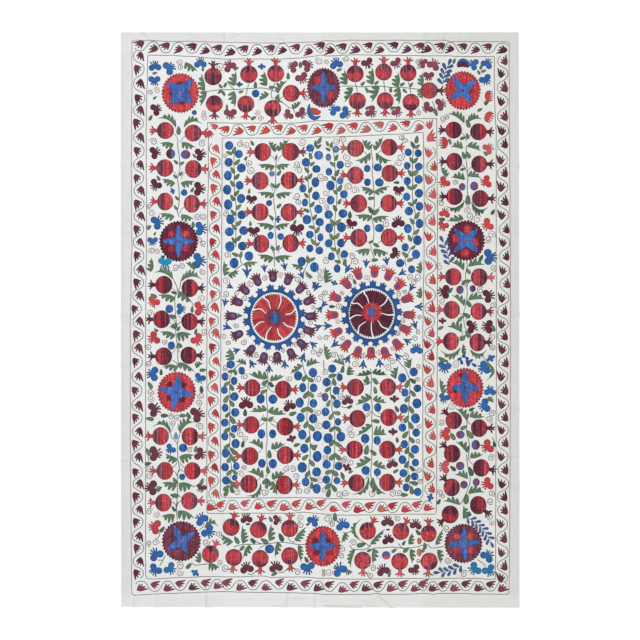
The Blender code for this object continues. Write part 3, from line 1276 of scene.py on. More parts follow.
def ring_tulip(x, y, angle, dye):
    """A tulip with spread petals and a violet spot on its foot."""
    outline = fan_outline(RING_TULIP_BODY, RING_TULIP_RAYS, steps=56)
    fill(spread(x, y, angle, wobbled(outline)), dye, angle, pitch=FLOWER_PITCH)
    spot = spread(x, y, angle, ellipse(*RING_TULIP_SPOT, steps=20) - RING_TULIP_SPOT_SETBACK)
    fill(spot, "violet", angle, pitch=SMALL_PITCH, base=RING_TULIP_SPOT_LIFT)


HEART_BAND = 7.0
HEART_POINTS = 18
HEART_POINT_REACH = 3
HEART_BODY = 0.82
CORE_WIDTH = 0.85
CORE_HEIGHT = 1.15
HEART_LIFT = 0.5
CORE_LIFT = 1.0


def medallion(x, y, rx, ry, petal_dye, gaps, ring_x, ring_y, ring, notches, first_notch,
              heart, heart_radius, heart_dye, core_radius, core_dye, tulips, tulip_dye):
    """A great round flower: whirling petals, a toothed ring and a wreath of tulips."""
    medallion_petals(x, y, rx, ry, gaps, petal_dye)
    medallion_ring(ring_x, ring_y, ring[0], ring[1], notches, first_notch)
    reach = heart_radius + HEART_POINT_REACH
    rays = [(360 / HEART_POINTS * k, reach, 9, 1.1) for k in range(HEART_POINTS)]
    star = wobbled(fan_outline(heart_radius * HEART_BODY, rays, steps=90), 1.0)
    core = wobbled(ellipse(core_radius * CORE_WIDTH, core_radius * CORE_HEIGHT, steps=24), 1.2)
    for outline, dye, base in ((star, heart_dye, HEART_LIFT), (core, core_dye, CORE_LIFT)):
        colour = varied(dye)

        def shade_at(points):
            return stitched(np.tile(colour, (len(points), 1)), points, heart[0], HEART_BAND)

        fill(outline + heart, dye, base=base, band=HEART_BAND, shade_at=shade_at)
    for angle, radius in tulips:
        place = around(ring_x, ring_y, angle, radius)
        ring_tulip(place[0], place[1], angle, tulip_dye)


# ---------------------------------------------------------------- bands, frames and seams
LINE_WIDTH = 3.6
STEM_WIDTH = 4.4
VINE_WIDTH = 4.4
VINE_REACH = 26.0
VINE_ARC = (
    # share of the way to the next crossing, share of the vine's reach
    (-0.80, 0.60),
    (-0.45, 0.94),
    (0.00, 1.03),
    (0.45, 0.94),
    (0.80, 0.60),
)


def tulip_band(places, direction, first_side):
    """Tulips that lie by turns on either side of a waving vine, and the vine itself."""
    run = np.array((math.cos(math.radians(direction)), math.sin(math.radians(direction))))
    left_hand = np.array((-run[1], run[0]))
    sides = ("right", "left") if first_side == "right" else ("left", "right")
    vine = []
    steps = [np.array((x, y)) @ run for x, y, _ in places]
    steps = [2 * steps[0] - steps[1]] + steps + [2 * steps[-1] - steps[-2]]
    for index, (x, y, dye) in enumerate(places):
        side = sides[index % 2]
        tulip(x, y, direction, side, dye)
        away = left_hand * (VINE_REACH if side == "left" else -VINE_REACH)
        before = (steps[index + 1] - steps[index]) / 2
        after = (steps[index + 2] - steps[index + 1]) / 2
        for share, reach in VINE_ARC:
            along = share * (before if share < 0 else after)
            vine.append(np.array((x, y)) + run * along + away * reach)
    long_chain(smooth_path(vine), VINE_WIDTH, "vine")


FRAME_LOWER_SIDE = 14.0
FRAME_SWAYS = (
    # reach in mm, steps of chain stitch per radian
    (0.35, 17),
    (0.28, 7),
)


def frame_line(points, dye, lower_dye):
    """A line around the design, hand-laid so it sways a little, its lower side in a dye of its own."""
    path = evenly(points + points[:1])
    count = np.arange(len(path))
    for reach, pace in FRAME_SWAYS:
        path = path + reach * np.sin(count / pace + chance.uniform(0, 6))[:, None]
    low = np.flatnonzero(path[:, 1] < path[:, 1].min() + FRAME_LOWER_SIDE)
    lower_side = path[low[0] : low[-1] + 1]
    other_sides = np.vstack((path[low[-1] :], path[1 : low[0] + 1]))
    long_chain(lower_side, LINE_WIDTH, lower_dye)
    long_chain(other_sides, LINE_WIDTH, dye)


THREAD_WIDTH = 0.9
THREAD_DEPTH = -0.25
SEAM_PITCH = 7.0
HALF_SEAM_STITCH = 2.0
HEM_PITCH = 11.0
HEM_STITCH = 4.5
HEM_STITCH_INSET = 1.5


def thread(x_start, y_start, x_end, y_end):
    """One short cotton stitch over the cloth."""
    path = np.linspace((x_start, y_start), (x_end, y_end), 4)
    chain(path, THREAD_WIDTH, "cotton", base=THREAD_DEPTH)


def sew_seams():
    """Whip stitches that join the panels."""
    for seam in LONG_LINES[1:-1]:
        for y in np.arange(-HALF_LENGTH + 4, HALF_LENGTH - 4, SEAM_PITCH):
            x = long_line_x(seam, y)
            slant = chance.uniform(1.2, 2.2)
            thread(x - HALF_SEAM_STITCH, y - slant, x + HALF_SEAM_STITCH, y + slant)


def sew_hems():
    """Running stitches along the hems' inner edges."""
    for y in np.arange(-HALF_LENGTH + 8, HALF_LENGTH - 12, HEM_PITCH):
        left = long_line_x(LONG_LINES[0], y) + HEMS["left"] - HEM_STITCH_INSET
        right = long_line_x(LONG_LINES[-1], y) - HEMS["right"] + HEM_STITCH_INSET
        for x in (left, right):
            thread(x, y, x + chance.uniform(-0.5, 0.5), y + HEM_STITCH)
    for x in np.arange(-HALF_WIDTH + 14, HALF_WIDTH - 30, HEM_PITCH):
        low = end_y(BOTTOM_END, x) + HEMS["bottom"] - HEM_STITCH_INSET
        high = end_y(TOP_END, x) - HEMS["top"] + HEM_STITCH_INSET
        for y in (low, high):
            thread(x, y, x + HEM_STITCH, y + chance.uniform(-0.5, 0.5))


# ---------------------------------------------------------------- charts of the design
# In each band the tulips lie by turns on the two sides of its vine.
OUTER_BAND_TOP = (
    # x, y, dye
    (-720, 1103, "plum"), (-665, 1085, "plum"), (-617, 1095, "plum"), (-565, 1083, "plum"),
    (-510, 1093, "wine"), (-458, 1077, "wine"), (-407, 1087, "plum"), (-357, 1071, "wine"),
    (-303, 1084, "plum"), (-250, 1074, "wine"), (-197, 1086, "plum"), (-150, 1078, "wine"),
    (-95, 1090, "plum"), (-45, 1073, "wine"), (3, 1097, "plum"), (40, 1078, "wine"), (90, 1092, "plum"),
    (142, 1080, "plum"), (195, 1097, "wine"), (240, 1080, "plum"), (297, 1098, "wine"),
    (348, 1082, "plum"), (400, 1095, "plum"), (428, 1083, "wine"), (483, 1095, "plum"),
    (520, 1083, "wine"), (573, 1093, "plum"), (622, 1080, "plum"), (672, 1093, "plum"),
    (730, 1080, "wine"),
)

OUTER_BAND_LEFT = (
    # x, y, dye
    (-718, 1055, "plum"), (-730, 1003, "plum"), (-718, 945, "wine"), (-727, 885, "wine"),
    (-718, 838, "plum"), (-733, 787, "plum"), (-718, 730, "plum"), (-730, 676, "plum"),
    (-718, 620, "plum"), (-732, 567, "plum"), (-716, 517, "plum"), (-730, 463, "plum"),
    (-716, 415, "plum"), (-732, 362, "plum"), (-719, 310, "plum"), (-731, 257, "wine"),
    (-716, 200, "plum"), (-732, 148, "wine"), (-721, 97, "plum"), (-741, 43, "wine"),
    (-720, -7, "plum"), (-734, -60, "plum"), (-724, -113, "plum"), (-737, -167, "wine"),
    (-724, -227, "plum"), (-739, -283, "plum"), (-724, -343, "plum"), (-738, -391, "plum"),
    (-722, -447, "wine"), (-738, -497, "plum"), (-724, -550, "plum"), (-737, -609, "wine"),
    (-720, -656, "plum"), (-735, -706, "plum"), (-721, -759, "plum"), (-735, -808, "wine"),
    (-722, -866, "plum"), (-732, -912, "plum"), (-719, -966, "wine"), (-733, -1014, "wine"),
)

OUTER_BAND_RIGHT_UPPER = (
    # x, y, dye
    (738, 1035, "plum"), (725, 985, "wine"), (737, 927, "plum"), (725, 873, "wine"), (738, 813, "plum"),
    (727, 757, "wine"), (738, 702, "wine"), (722, 640, "plum"), (738, 586, "wine"), (724, 532, "plum"),
    (740, 473, "wine"), (727, 419, "plum"), (745, 361, "wine"), (732, 309, "wine"), (745, 253, "wine"),
    (731, 197, "plum"), (747, 142, "plum"), (728, 88, "plum"), (738, 34, "wine"), (726, -17, "plum"),
    (738, -67, "wine"), (729, -118, "plum"), (742, -174, "plum"), (724, -226, "plum"),
    (739, -283, "plum"), (727, -338, "plum"), (740, -391, "wine"), (726, -441, "wine"),
    (741, -494, "plum"), (725, -547, "plum"), (740, -601, "plum"), (728, -656, "wine"),
    (737, -709, "wine"),
)

OUTER_BAND_RIGHT_LOWER = (
    # x, y, dye
    (738, -762, "wine"), (723, -816, "plum"), (735, -875, "plum"),
    (726, -931, "plum"), (737, -986, "plum"), (723, -1031, "plum"),
)

OUTER_BAND_BOTTOM = (
    # x, y, dye
    (-715, -1072, "mulberry"), (-660, -1059, "mulberry"), (-608, -1072, "mulberry"),
    (-560, -1055, "mulberry"), (-508, -1069, "plum"), (-457, -1052, "mulberry"),
    (-410, -1064, "mulberry"), (-372, -1051, "mulberry"), (-318, -1069, "mulberry"),
    (-268, -1053, "plum"), (-216, -1070, "mulberry"), (-162, -1050, "mulberry"), (-116, -1069, "plum"),
    (-58, -1055, "mulberry"), (-8, -1072, "plum"), (37, -1059, "plum"), (90, -1078, "mulberry"),
    (136, -1059, "mulberry"), (184, -1073, "plum"), (232, -1060, "plum"), (284, -1073, "mulberry"),
    (331, -1057, "mulberry"), (379, -1074, "mulberry"), (413, -1056, "mulberry"), (451, -1074, "plum"),
    (492, -1058, "plum"), (538, -1073, "mulberry"), (584, -1056, "plum"), (634, -1072, "plum"),
    (682, -1058, "plum"), (729, -1074, "mulberry"),
)

INNER_BAND_TOP = (
    # x, y, dye
    (-378, 762, "orange"), (-325, 755, "orange"), (-272, 765, "orange"), (-218, 758, "orange"),
    (-165, 768, "orange"), (-115, 755, "orange"), (-65, 768, "orange"), (-12, 757, "orange"),
    (35, 773, "crimson"), (85, 758, "salmon"), (135, 775, "red"), (185, 763, "salmon"),
    (238, 780, "salmon"), (292, 768, "rose"), (345, 785, "orange"), (396, 770, "rose"),
)

INNER_BAND_LEFT = (
    # x, y, dye
    (-416, 685, "rose"), (-426, 635, "orange"), (-415, 581, "orange"), (-424, 527, "orange"),
    (-413, 473, "red"), (-426, 420, "red"), (-415, 365, "crimson"), (-429, 310, "crimson"),
    (-418, 260, "red"), (-431, 210, "orange"), (-416, 155, "rose"), (-427, 103, "red"),
    (-421, 50, "orange"), (-432, -5, "orange"), (-417, -53, "rose"), (-430, -110, "crimson"),
    (-416, -166, "orange"), (-433, -218, "crimson"), (-421, -271, "rose"), (-434, -322, "red"),
    (-418, -375, "red"), (-434, -428, "red"), (-420, -485, "red"), (-434, -540, "red"),
    (-421, -591, "crimson"), (-433, -643, "orange"), (-417, -695, "salmon"),
)

INNER_BAND_RIGHT = (
    # x, y, dye
    (435, 668, "rose"), (455, 611, "orange"), (436, 560, "salmon"), (451, 502, "rose"),
    (435, 450, "rose"), (449, 394, "rose"), (435, 333, "red"), (452, 273, "rose"), (437, 217, "rose"),
    (450, 158, "orange"), (435, 98, "orange"), (447, 47, "red"), (432, -6, "orange"),
    (446, -54, "rose"), (430, -98, "crimson"), (444, -147, "crimson"), (430, -198, "orange"),
    (442, -254, "rose"), (438, -305, "rose"), (448, -360, "red"), (435, -416, "red"),
    (450, -465, "rose"), (437, -518, "red"), (443, -576, "red"), (431, -625, "orange"),
    (447, -677, "orange"),
)

INNER_BAND_BOTTOM = (
    # x, y, dye
    (-436, -749, "red"), (-397, -739, "red"), (-350, -748, "salmon"), (-300, -734, "rose"),
    (-245, -745, "red"), (-194, -736, "red"), (-143, -750, "rose"), (-95, -736, "orange"),
    (-42, -746, "orange"), (4, -733, "orange"), (54, -756, "red"), (105, -739, "rose"),
    (152, -758, "crimson"), (198, -743, "red"), (248, -755, "salmon"), (290, -744, "crimson"),
    (342, -757, "red"), (387, -739, "rose"), (431, -751, "red"),
)

POMEGRANATES = (
    # x, y, rx, ry, flesh dye, crown angle, dark angle, dark share, dark rim, crown dye
    (-618, 757, 34, 34, "red", 180, 180, 0.30, 0.00, "red"),
    (-507, 747, 34, 34, "red", 0, 0, 0.35, 0.00, "red"),
    (-427, 973, 35, 35, "red", 90, 270, 0.60, 0.00, "plum"),
    (-422, 864, 34, 34, "red", 270, 90, 0.50, 0.00, "mulberry"),
    (-284, 982, 35, 35, "red", 90, 90, 0.30, 0.10, "red"),
    (-177, 985, 34, 34, "red", 90, 90, 0.25, 0.00, "red"),
    (-296, 863, 34, 34, "red", 270, 270, 0.40, 0.00, "red"),
    (-189, 845, 34, 34, "red", 270, 270, 0.40, 0.00, "red"),
    (-115, 906, 34, 34, "red", 0, 0, 0.25, 0.00, "red"),
    (141, 984, 34, 34, "red", 90, 90, 0.35, 0.00, "red"),
    (255, 991, 34, 34, "red", 90, 90, 0.30, 0.00, "red"),
    (353, 988, 33, 34, "red", 90, 90, 0.35, 0.08, "red"),
    (150, 875, 34, 34, "red", 270, 270, 0.40, 0.00, "red"),
    (261, 876, 34, 34, "red", 270, 270, 0.30, 0.00, "red"),
    (364, 870, 34, 34, "red", 270, 270, 0.30, 0.00, "red"),
    (437, 917, 35, 33, "red", 0, 0, 0.30, 0.00, "plum"),
    (535, 759, 33, 34, "crimson", 180, 0, 0.50, 0.00, "wine"),
    (634, 752, 33, 34, "crimson", 0, 180, 0.55, 0.00, "wine"),
    (-620, 607, 34, 35, "red", 180, 180, 0.40, 0.00, "red"),
    (-506, 603, 33, 36, "red", 0, 0, 0.30, 0.10, "red"),
    (-619, 473, 32, 36, "red", 180, 180, 0.40, 0.00, "red"),
    (-512, 464, 32, 36, "red", 0, 0, 0.20, 0.15, "red"),
    (-229, 671, 34, 36, "red", 180, 180, 0.30, 0.08, "rose"),
    (-117, 672, 35, 36, "red", 0, 0, 0.35, 0.00, "mulberry"),
    (-239, 556, 34, 36, "red", 180, 180, 0.35, 0.00, "red"),
    (-123, 558, 34, 35, "red", 0, 0, 0.30, 0.08, "red"),
    (-239, 431, 34, 35, "red", 180, 180, 0.30, 0.00, "red"),
    (-124, 430, 33, 36, "red", 0, 0, 0.25, 0.20, "red"),
    (-235, 304, 33, 36, "red", 180, 180, 0.30, 0.00, "red"),
    (-117, 306, 33, 36, "red", 0, 0, 0.15, 0.12, "orange"),
    (142, 686, 34, 34, "red", 180, 180, 0.32, 0.08, "salmon"),
    (277, 690, 33, 34, "red", 0, 0, 0.30, 0.00, "orange"),
    (142, 578, 33, 35, "red", 180, 180, 0.35, 0.08, "red"),
    (279, 586, 33, 34, "red", 0, 0, 0.28, 0.00, "red"),
    (155, 465, 34, 36, "red", 180, 180, 0.35, 0.10, "red"),
    (275, 466, 33, 35, "red", 0, 0, 0.20, 0.12, "red"),
    (155, 328, 34, 36, "red", 180, 180, 0.35, 0.15, "red"),
    (276, 329, 33, 36, "red", 0, 0, 0.20, 0.15, "red"),
    (537, 633, 32, 35, "crimson", 180, 0, 0.50, 0.00, "wine"),
    (637, 623, 32, 34, "crimson", 0, 180, 0.50, 0.00, "wine"),
    (538, 493, 33, 34, "crimson", 180, 0, 0.55, 0.00, "wine"),
    (641, 485, 33, 34, "crimson", 0, 180, 0.60, 0.00, "wine"),
    (-624, 140, 34, 36, "crimson", 180, 0, 0.45, 0.00, "wine"),
    (-520, 127, 33, 36, "crimson", 0, 180, 0.55, 0.00, "wine"),
    (-633, 2, 34, 36, "crimson", 180, 0, 0.42, 0.00, "wine"),
    (-521, -7, 33, 35, "crimson", 0, 180, 0.45, 0.00, "wine"),
    (533, 172, 33, 35, "red", 180, 180, 0.35, 0.00, "red"),
    (637, 170, 33, 36, "red", 0, 0, 0.38, 0.10, "rose"),
    (527, 40, 33, 36, "red", 180, 180, 0.30, 0.00, "rose"),
    (634, 34, 32, 34, "red", 0, 0, 0.32, 0.12, "mulberry"),
    (524, -86, 32, 36, "red", 180, 180, 0.30, 0.10, "red"),
    (630, -90, 32, 36, "crimson", 0, 0, 0.40, 0.00, "wine"),
    (-625, -146, 34, 36, "crimson", 180, 0, 0.50, 0.00, "wine"),
    (-525, -142, 33, 35, "crimson", 0, 180, 0.60, 0.00, "wine"),
    (-637, -465, 33, 36, "red", 180, 180, 0.28, 0.00, "red"),
    (-519, -466, 34, 36, "red", 0, 0, 0.25, 0.00, "rose"),
    (-271, -272, 33, 35, "crimson", 180, 180, 0.30, 0.00, "red"),
    (-147, -279, 33, 36, "crimson", 0, 0, 0.20, 0.00, "orange"),
    (-275, -420, 33, 35, "crimson", 180, 180, 0.20, 0.00, "rose"),
    (-139, -427, 34, 36, "crimson", 0, 0, 0.20, 0.06, "orange"),
    (-280, -545, 34, 36, "crimson", 180, 180, 0.25, 0.00, "orange"),
    (-138, -541, 34, 36, "crimson", 0, 0, 0.18, 0.08, "orange"),
    (142, -270, 34, 35, "crimson", 180, 180, 0.25, 0.12, "orange"),
    (272, -269, 33, 35, "crimson", 0, 0, 0.25, 0.08, "rose"),
    (150, -395, 33, 35, "crimson", 180, 180, 0.25, 0.15, "red"),
    (275, -390, 33, 35, "crimson", 0, 0, 0.20, 0.06, "rose"),
    (138, -519, 34, 36, "crimson", 180, 180, 0.25, 0.08, "rose"),
    (270, -519, 33, 36, "crimson", 0, 0, 0.28, 0.00, "orange"),
    (535, -402, 33, 35, "crimson", 135, 0, 0.50, 0.00, "wine"),
    (637, -433, 33, 36, "crimson", 0, 180, 0.55, 0.00, "wine"),
    (529, -535, 33, 36, "crimson", 135, 0, 0.55, 0.00, "wine"),
    (-620, -604, 33, 36, "red", 180, 180, 0.32, 0.00, "red"),
    (-510, -604, 33, 35, "red", 0, 0, 0.30, 0.00, "rose"),
    (-626, -731, 33, 36, "red", 180, 180, 0.30, 0.00, "rose"),
    (-522, -724, 33, 35, "red", 0, 0, 0.32, 0.00, "rose"),
    (-284, -656, 35, 36, "crimson", 180, 180, 0.30, 0.00, "rose"),
    (-142, -660, 34, 38, "crimson", 0, 0, 0.22, 0.10, "rose"),
    (146, -652, 33, 35, "crimson", 180, 180, 0.32, 0.00, "orange"),
    (270, -650, 33, 35, "crimson", 0, 0, 0.25, 0.08, "orange"),
    (645, -592, 33, 35, "crimson", 350, 180, 0.50, 0.00, "wine"),
    (527, -670, 33, 36, "crimson", 130, 320, 0.45, 0.00, "wine"),
    (633, -741, 33, 37, "crimson", 320, 200, 0.42, 0.00, "wine"),
    (521, -778, 34, 36, "crimson", 220, 80, 0.42, 0.00, "wine"),
    (-355, -829, 34, 35, "red", 75, 70, 0.28, 0.06, "orange"),
    (-246, -839, 34, 34, "red", 75, 60, 0.28, 0.06, "red"),
    (-121, -834, 34, 35, "red", 88, 90, 0.26, 0.08, "rose"),
    (-344, -950, 34, 34, "red", 265, 270, 0.16, 0.10, "rose"),
    (-239, -955, 34, 35, "red", 270, 270, 0.22, 0.09, "orange"),
    (-121, -944, 34, 35, "red", 275, 270, 0.18, 0.08, "orange"),
    (-438, -937, 34, 35, "red", 62, 60, 0.26, 0.05, "rose"),
    (191, -844, 33, 35, "red", 60, 105, 0.26, 0.06, "orange"),
    (324, -846, 34, 34, "red", 60, 65, 0.28, 0.06, "orange"),
    (435, -855, 32, 34, "red", 90, 92, 0.30, 0.05, "orange"),
    (171, -962, 34, 35, "red", 272, 90, 0.14, 0.11, "rose"),
    (319, -966, 34, 34, "red", 272, 85, 0.18, 0.10, "rose"),
    (437, -966, 34, 35, "red", 265, 295, 0.26, 0.05, "salmon"),
)

FLOWERS = (
    # x, y, angle, span, dye
    (-660, 1015, 97, 52, "blue"), (-602, 1008, 30, 58, "blue"), (-662, 957, 270, 50, "blue"),
    (-478, 1027, 92, 52, "blue"), (-655, 842, 30, 52, "wine"), (-362, 1015, 122, 54, "mulberry"),
    (-358, 824, 275, 54, "mulberry"), (-108, 1013, 160, 50, "mulberry"),
    (-50, 1017, 22, 52, "mulberry"), (-72, 967, 300, 54, "mulberry"), (-127, 820, 215, 46, "mulberry"),
    (-75, 826, 320, 50, "mulberry"), (65, 1025, 105, 55, "blue"), (58, 840, 135, 50, "blue"),
    (102, 827, 335, 54, "blue"), (190, 1027, 300, 50, "plum"), (305, 1027, 300, 48, "mulberry"),
    (205, 832, 320, 52, "mulberry"), (308, 832, 310, 46, "mulberry"), (412, 1027, 150, 42, "mulberry"),
    (455, 1020, 60, 54, "mulberry"), (435, 975, 270, 46, "mulberry"), (483, 862, 20, 52, "mulberry"),
    (430, 848, 215, 50, "mulberry"), (615, 1022, 160, 48, "blue"), (668, 1025, 60, 50, "blue"),
    (662, 960, 300, 52, "blue"), (-660, 669, 20, 52, "wine"), (-479, 662, 15, 52, "wine"),
    (-657, 540, 235, 52, "wine"), (-483, 524, 0, 58, "wine"), (-651, 390, 30, 58, "blue"),
    (-477, 365, 0, 58, "blue"), (-669, 315, 270, 44, "blue"), (-274, 482, 265, 46, "wine"),
    (-264, 354, 270, 50, "wine"), (-91, 362, 275, 60, "wine"), (315, 518, 265, 48, "wine"),
    (125, 384, 245, 48, "wine"), (312, 390, 100, 56, "wine"), (497, 550, 225, 50, "red"),
    (665, 552, 200, 52, "red"), (673, 685, 40, 48, "rose"), (499, 427, 80, 46, "red"),
    (493, 376, 250, 46, "red"), (670, 380, 215, 54, "red"), (-620, 229, 268, 56, "turquoise"),
    (-484, 237, 0, 64, "blue"), (-665, 72, 240, 52, "red"), (-481, 45, 0, 58, "red"),
    (-664, -73, 205, 56, "red"), (-491, -79, 310, 54, "red"), (-557, 44, 0, 46, "blue"),
    (301, 266, 340, 50, "wine"), (680, 252, 0, 66, "blue"), (497, 112, 180, 58, "wine"),
    (674, 96, 20, 56, "wine"), (607, -27, 10, 56, "wine"), (671, -27, 180, 56, "wine"),
    (-668, -216, 180, 60, "blue"), (-480, -233, 245, 48, "blue"), (-598, -517, 230, 46, "blue"),
    (-663, -358, 20, 60, "plum"), (-491, -378, 25, 64, "plum"), (-659, -535, 0, 62, "plum"),
    (-479, -537, 340, 54, "plum"), (-296, -334, 95, 60, "wine"), (-123, -344, 110, 54, "wine"),
    (110, -322, 95, 48, "plum"), (386, -117, 90, 52, "blue"), (498, -188, 262, 56, "blue"),
    (655, -192, 205, 58, "blue"), (680, -284, 90, 50, "blue"), (497, -313, 250, 46, "blue"),
    (658, -343, 200, 58, "blue"), (502, -456, 180, 56, "red"), (670, -507, 210, 58, "red"),
    (-674, -671, 175, 62, "plum"), (-474, -672, 250, 42, "plum"), (-26, -803, 50, 52, "blue"),
    (90, -819, 105, 58, "blue"), (271, -806, 90, 54, "plum"), (384, -819, 80, 50, "plum"),
    (288, -575, 100, 48, "plum"), (498, -588, 180, 54, "rose"), (670, -656, 205, 54, "red"),
    (-660, -828, 170, 60, "red"), (-474, -797, 125, 57, "blue"), (-446, -847, 320, 60, "blue"),
    (-656, -938, 125, 60, "blue"), (-659, -1000, 232, 56, "blue"), (-599, -995, 318, 54, "azure"),
    (-294, -794, 98, 50, "plum"), (-172, -800, 5, 42, "plum"), (-293, -992, 105, 57, "plum"),
    (-176, -987, 95, 57, "plum"), (-49, -992, 275, 60, "blue"), (272, -878, 100, 50, "wine"),
    (78, -999, 125, 62, "blue"), (252, -1001, 115, 56, "plum"), (378, -1000, 300, 50, "plum"),
    (670, -944, 52, 58, "blue"), (619, -996, 215, 57, "azure"), (676, -1002, 303, 56, "azure"),
)

FRINGED_FLOWERS = (
    # x, y, angle, span, dye
    (675, 895, 0, 44, "red"), (675, 812, 335, 46, "red"), (495, 708, 180, 48, "red"),
)

TREFOILS = (
    # x, y, angle, span, dye
    (490, -8, 90, 34, "plum"), (-233, 1017, 270, 34, "blue"), (-586, 516, 200, 28, "blue"),
    (-171, 402, 0, 30, "blue"), (-322, 938, 90, 30, "indigo"), (56, 144, 70, 30, "azure"),
    (-112, -480, 110, 42, "plum"), (298, -321, 90, 40, "plum"), (292, -452, 90, 40, "plum"),
    (681, -149, 300, 40, "blue"), (106, -595, 60, 42, "plum"), (-496, -1008, 235, 38, "blue"),
    (437, -709, 345, 36, "blue"),
)

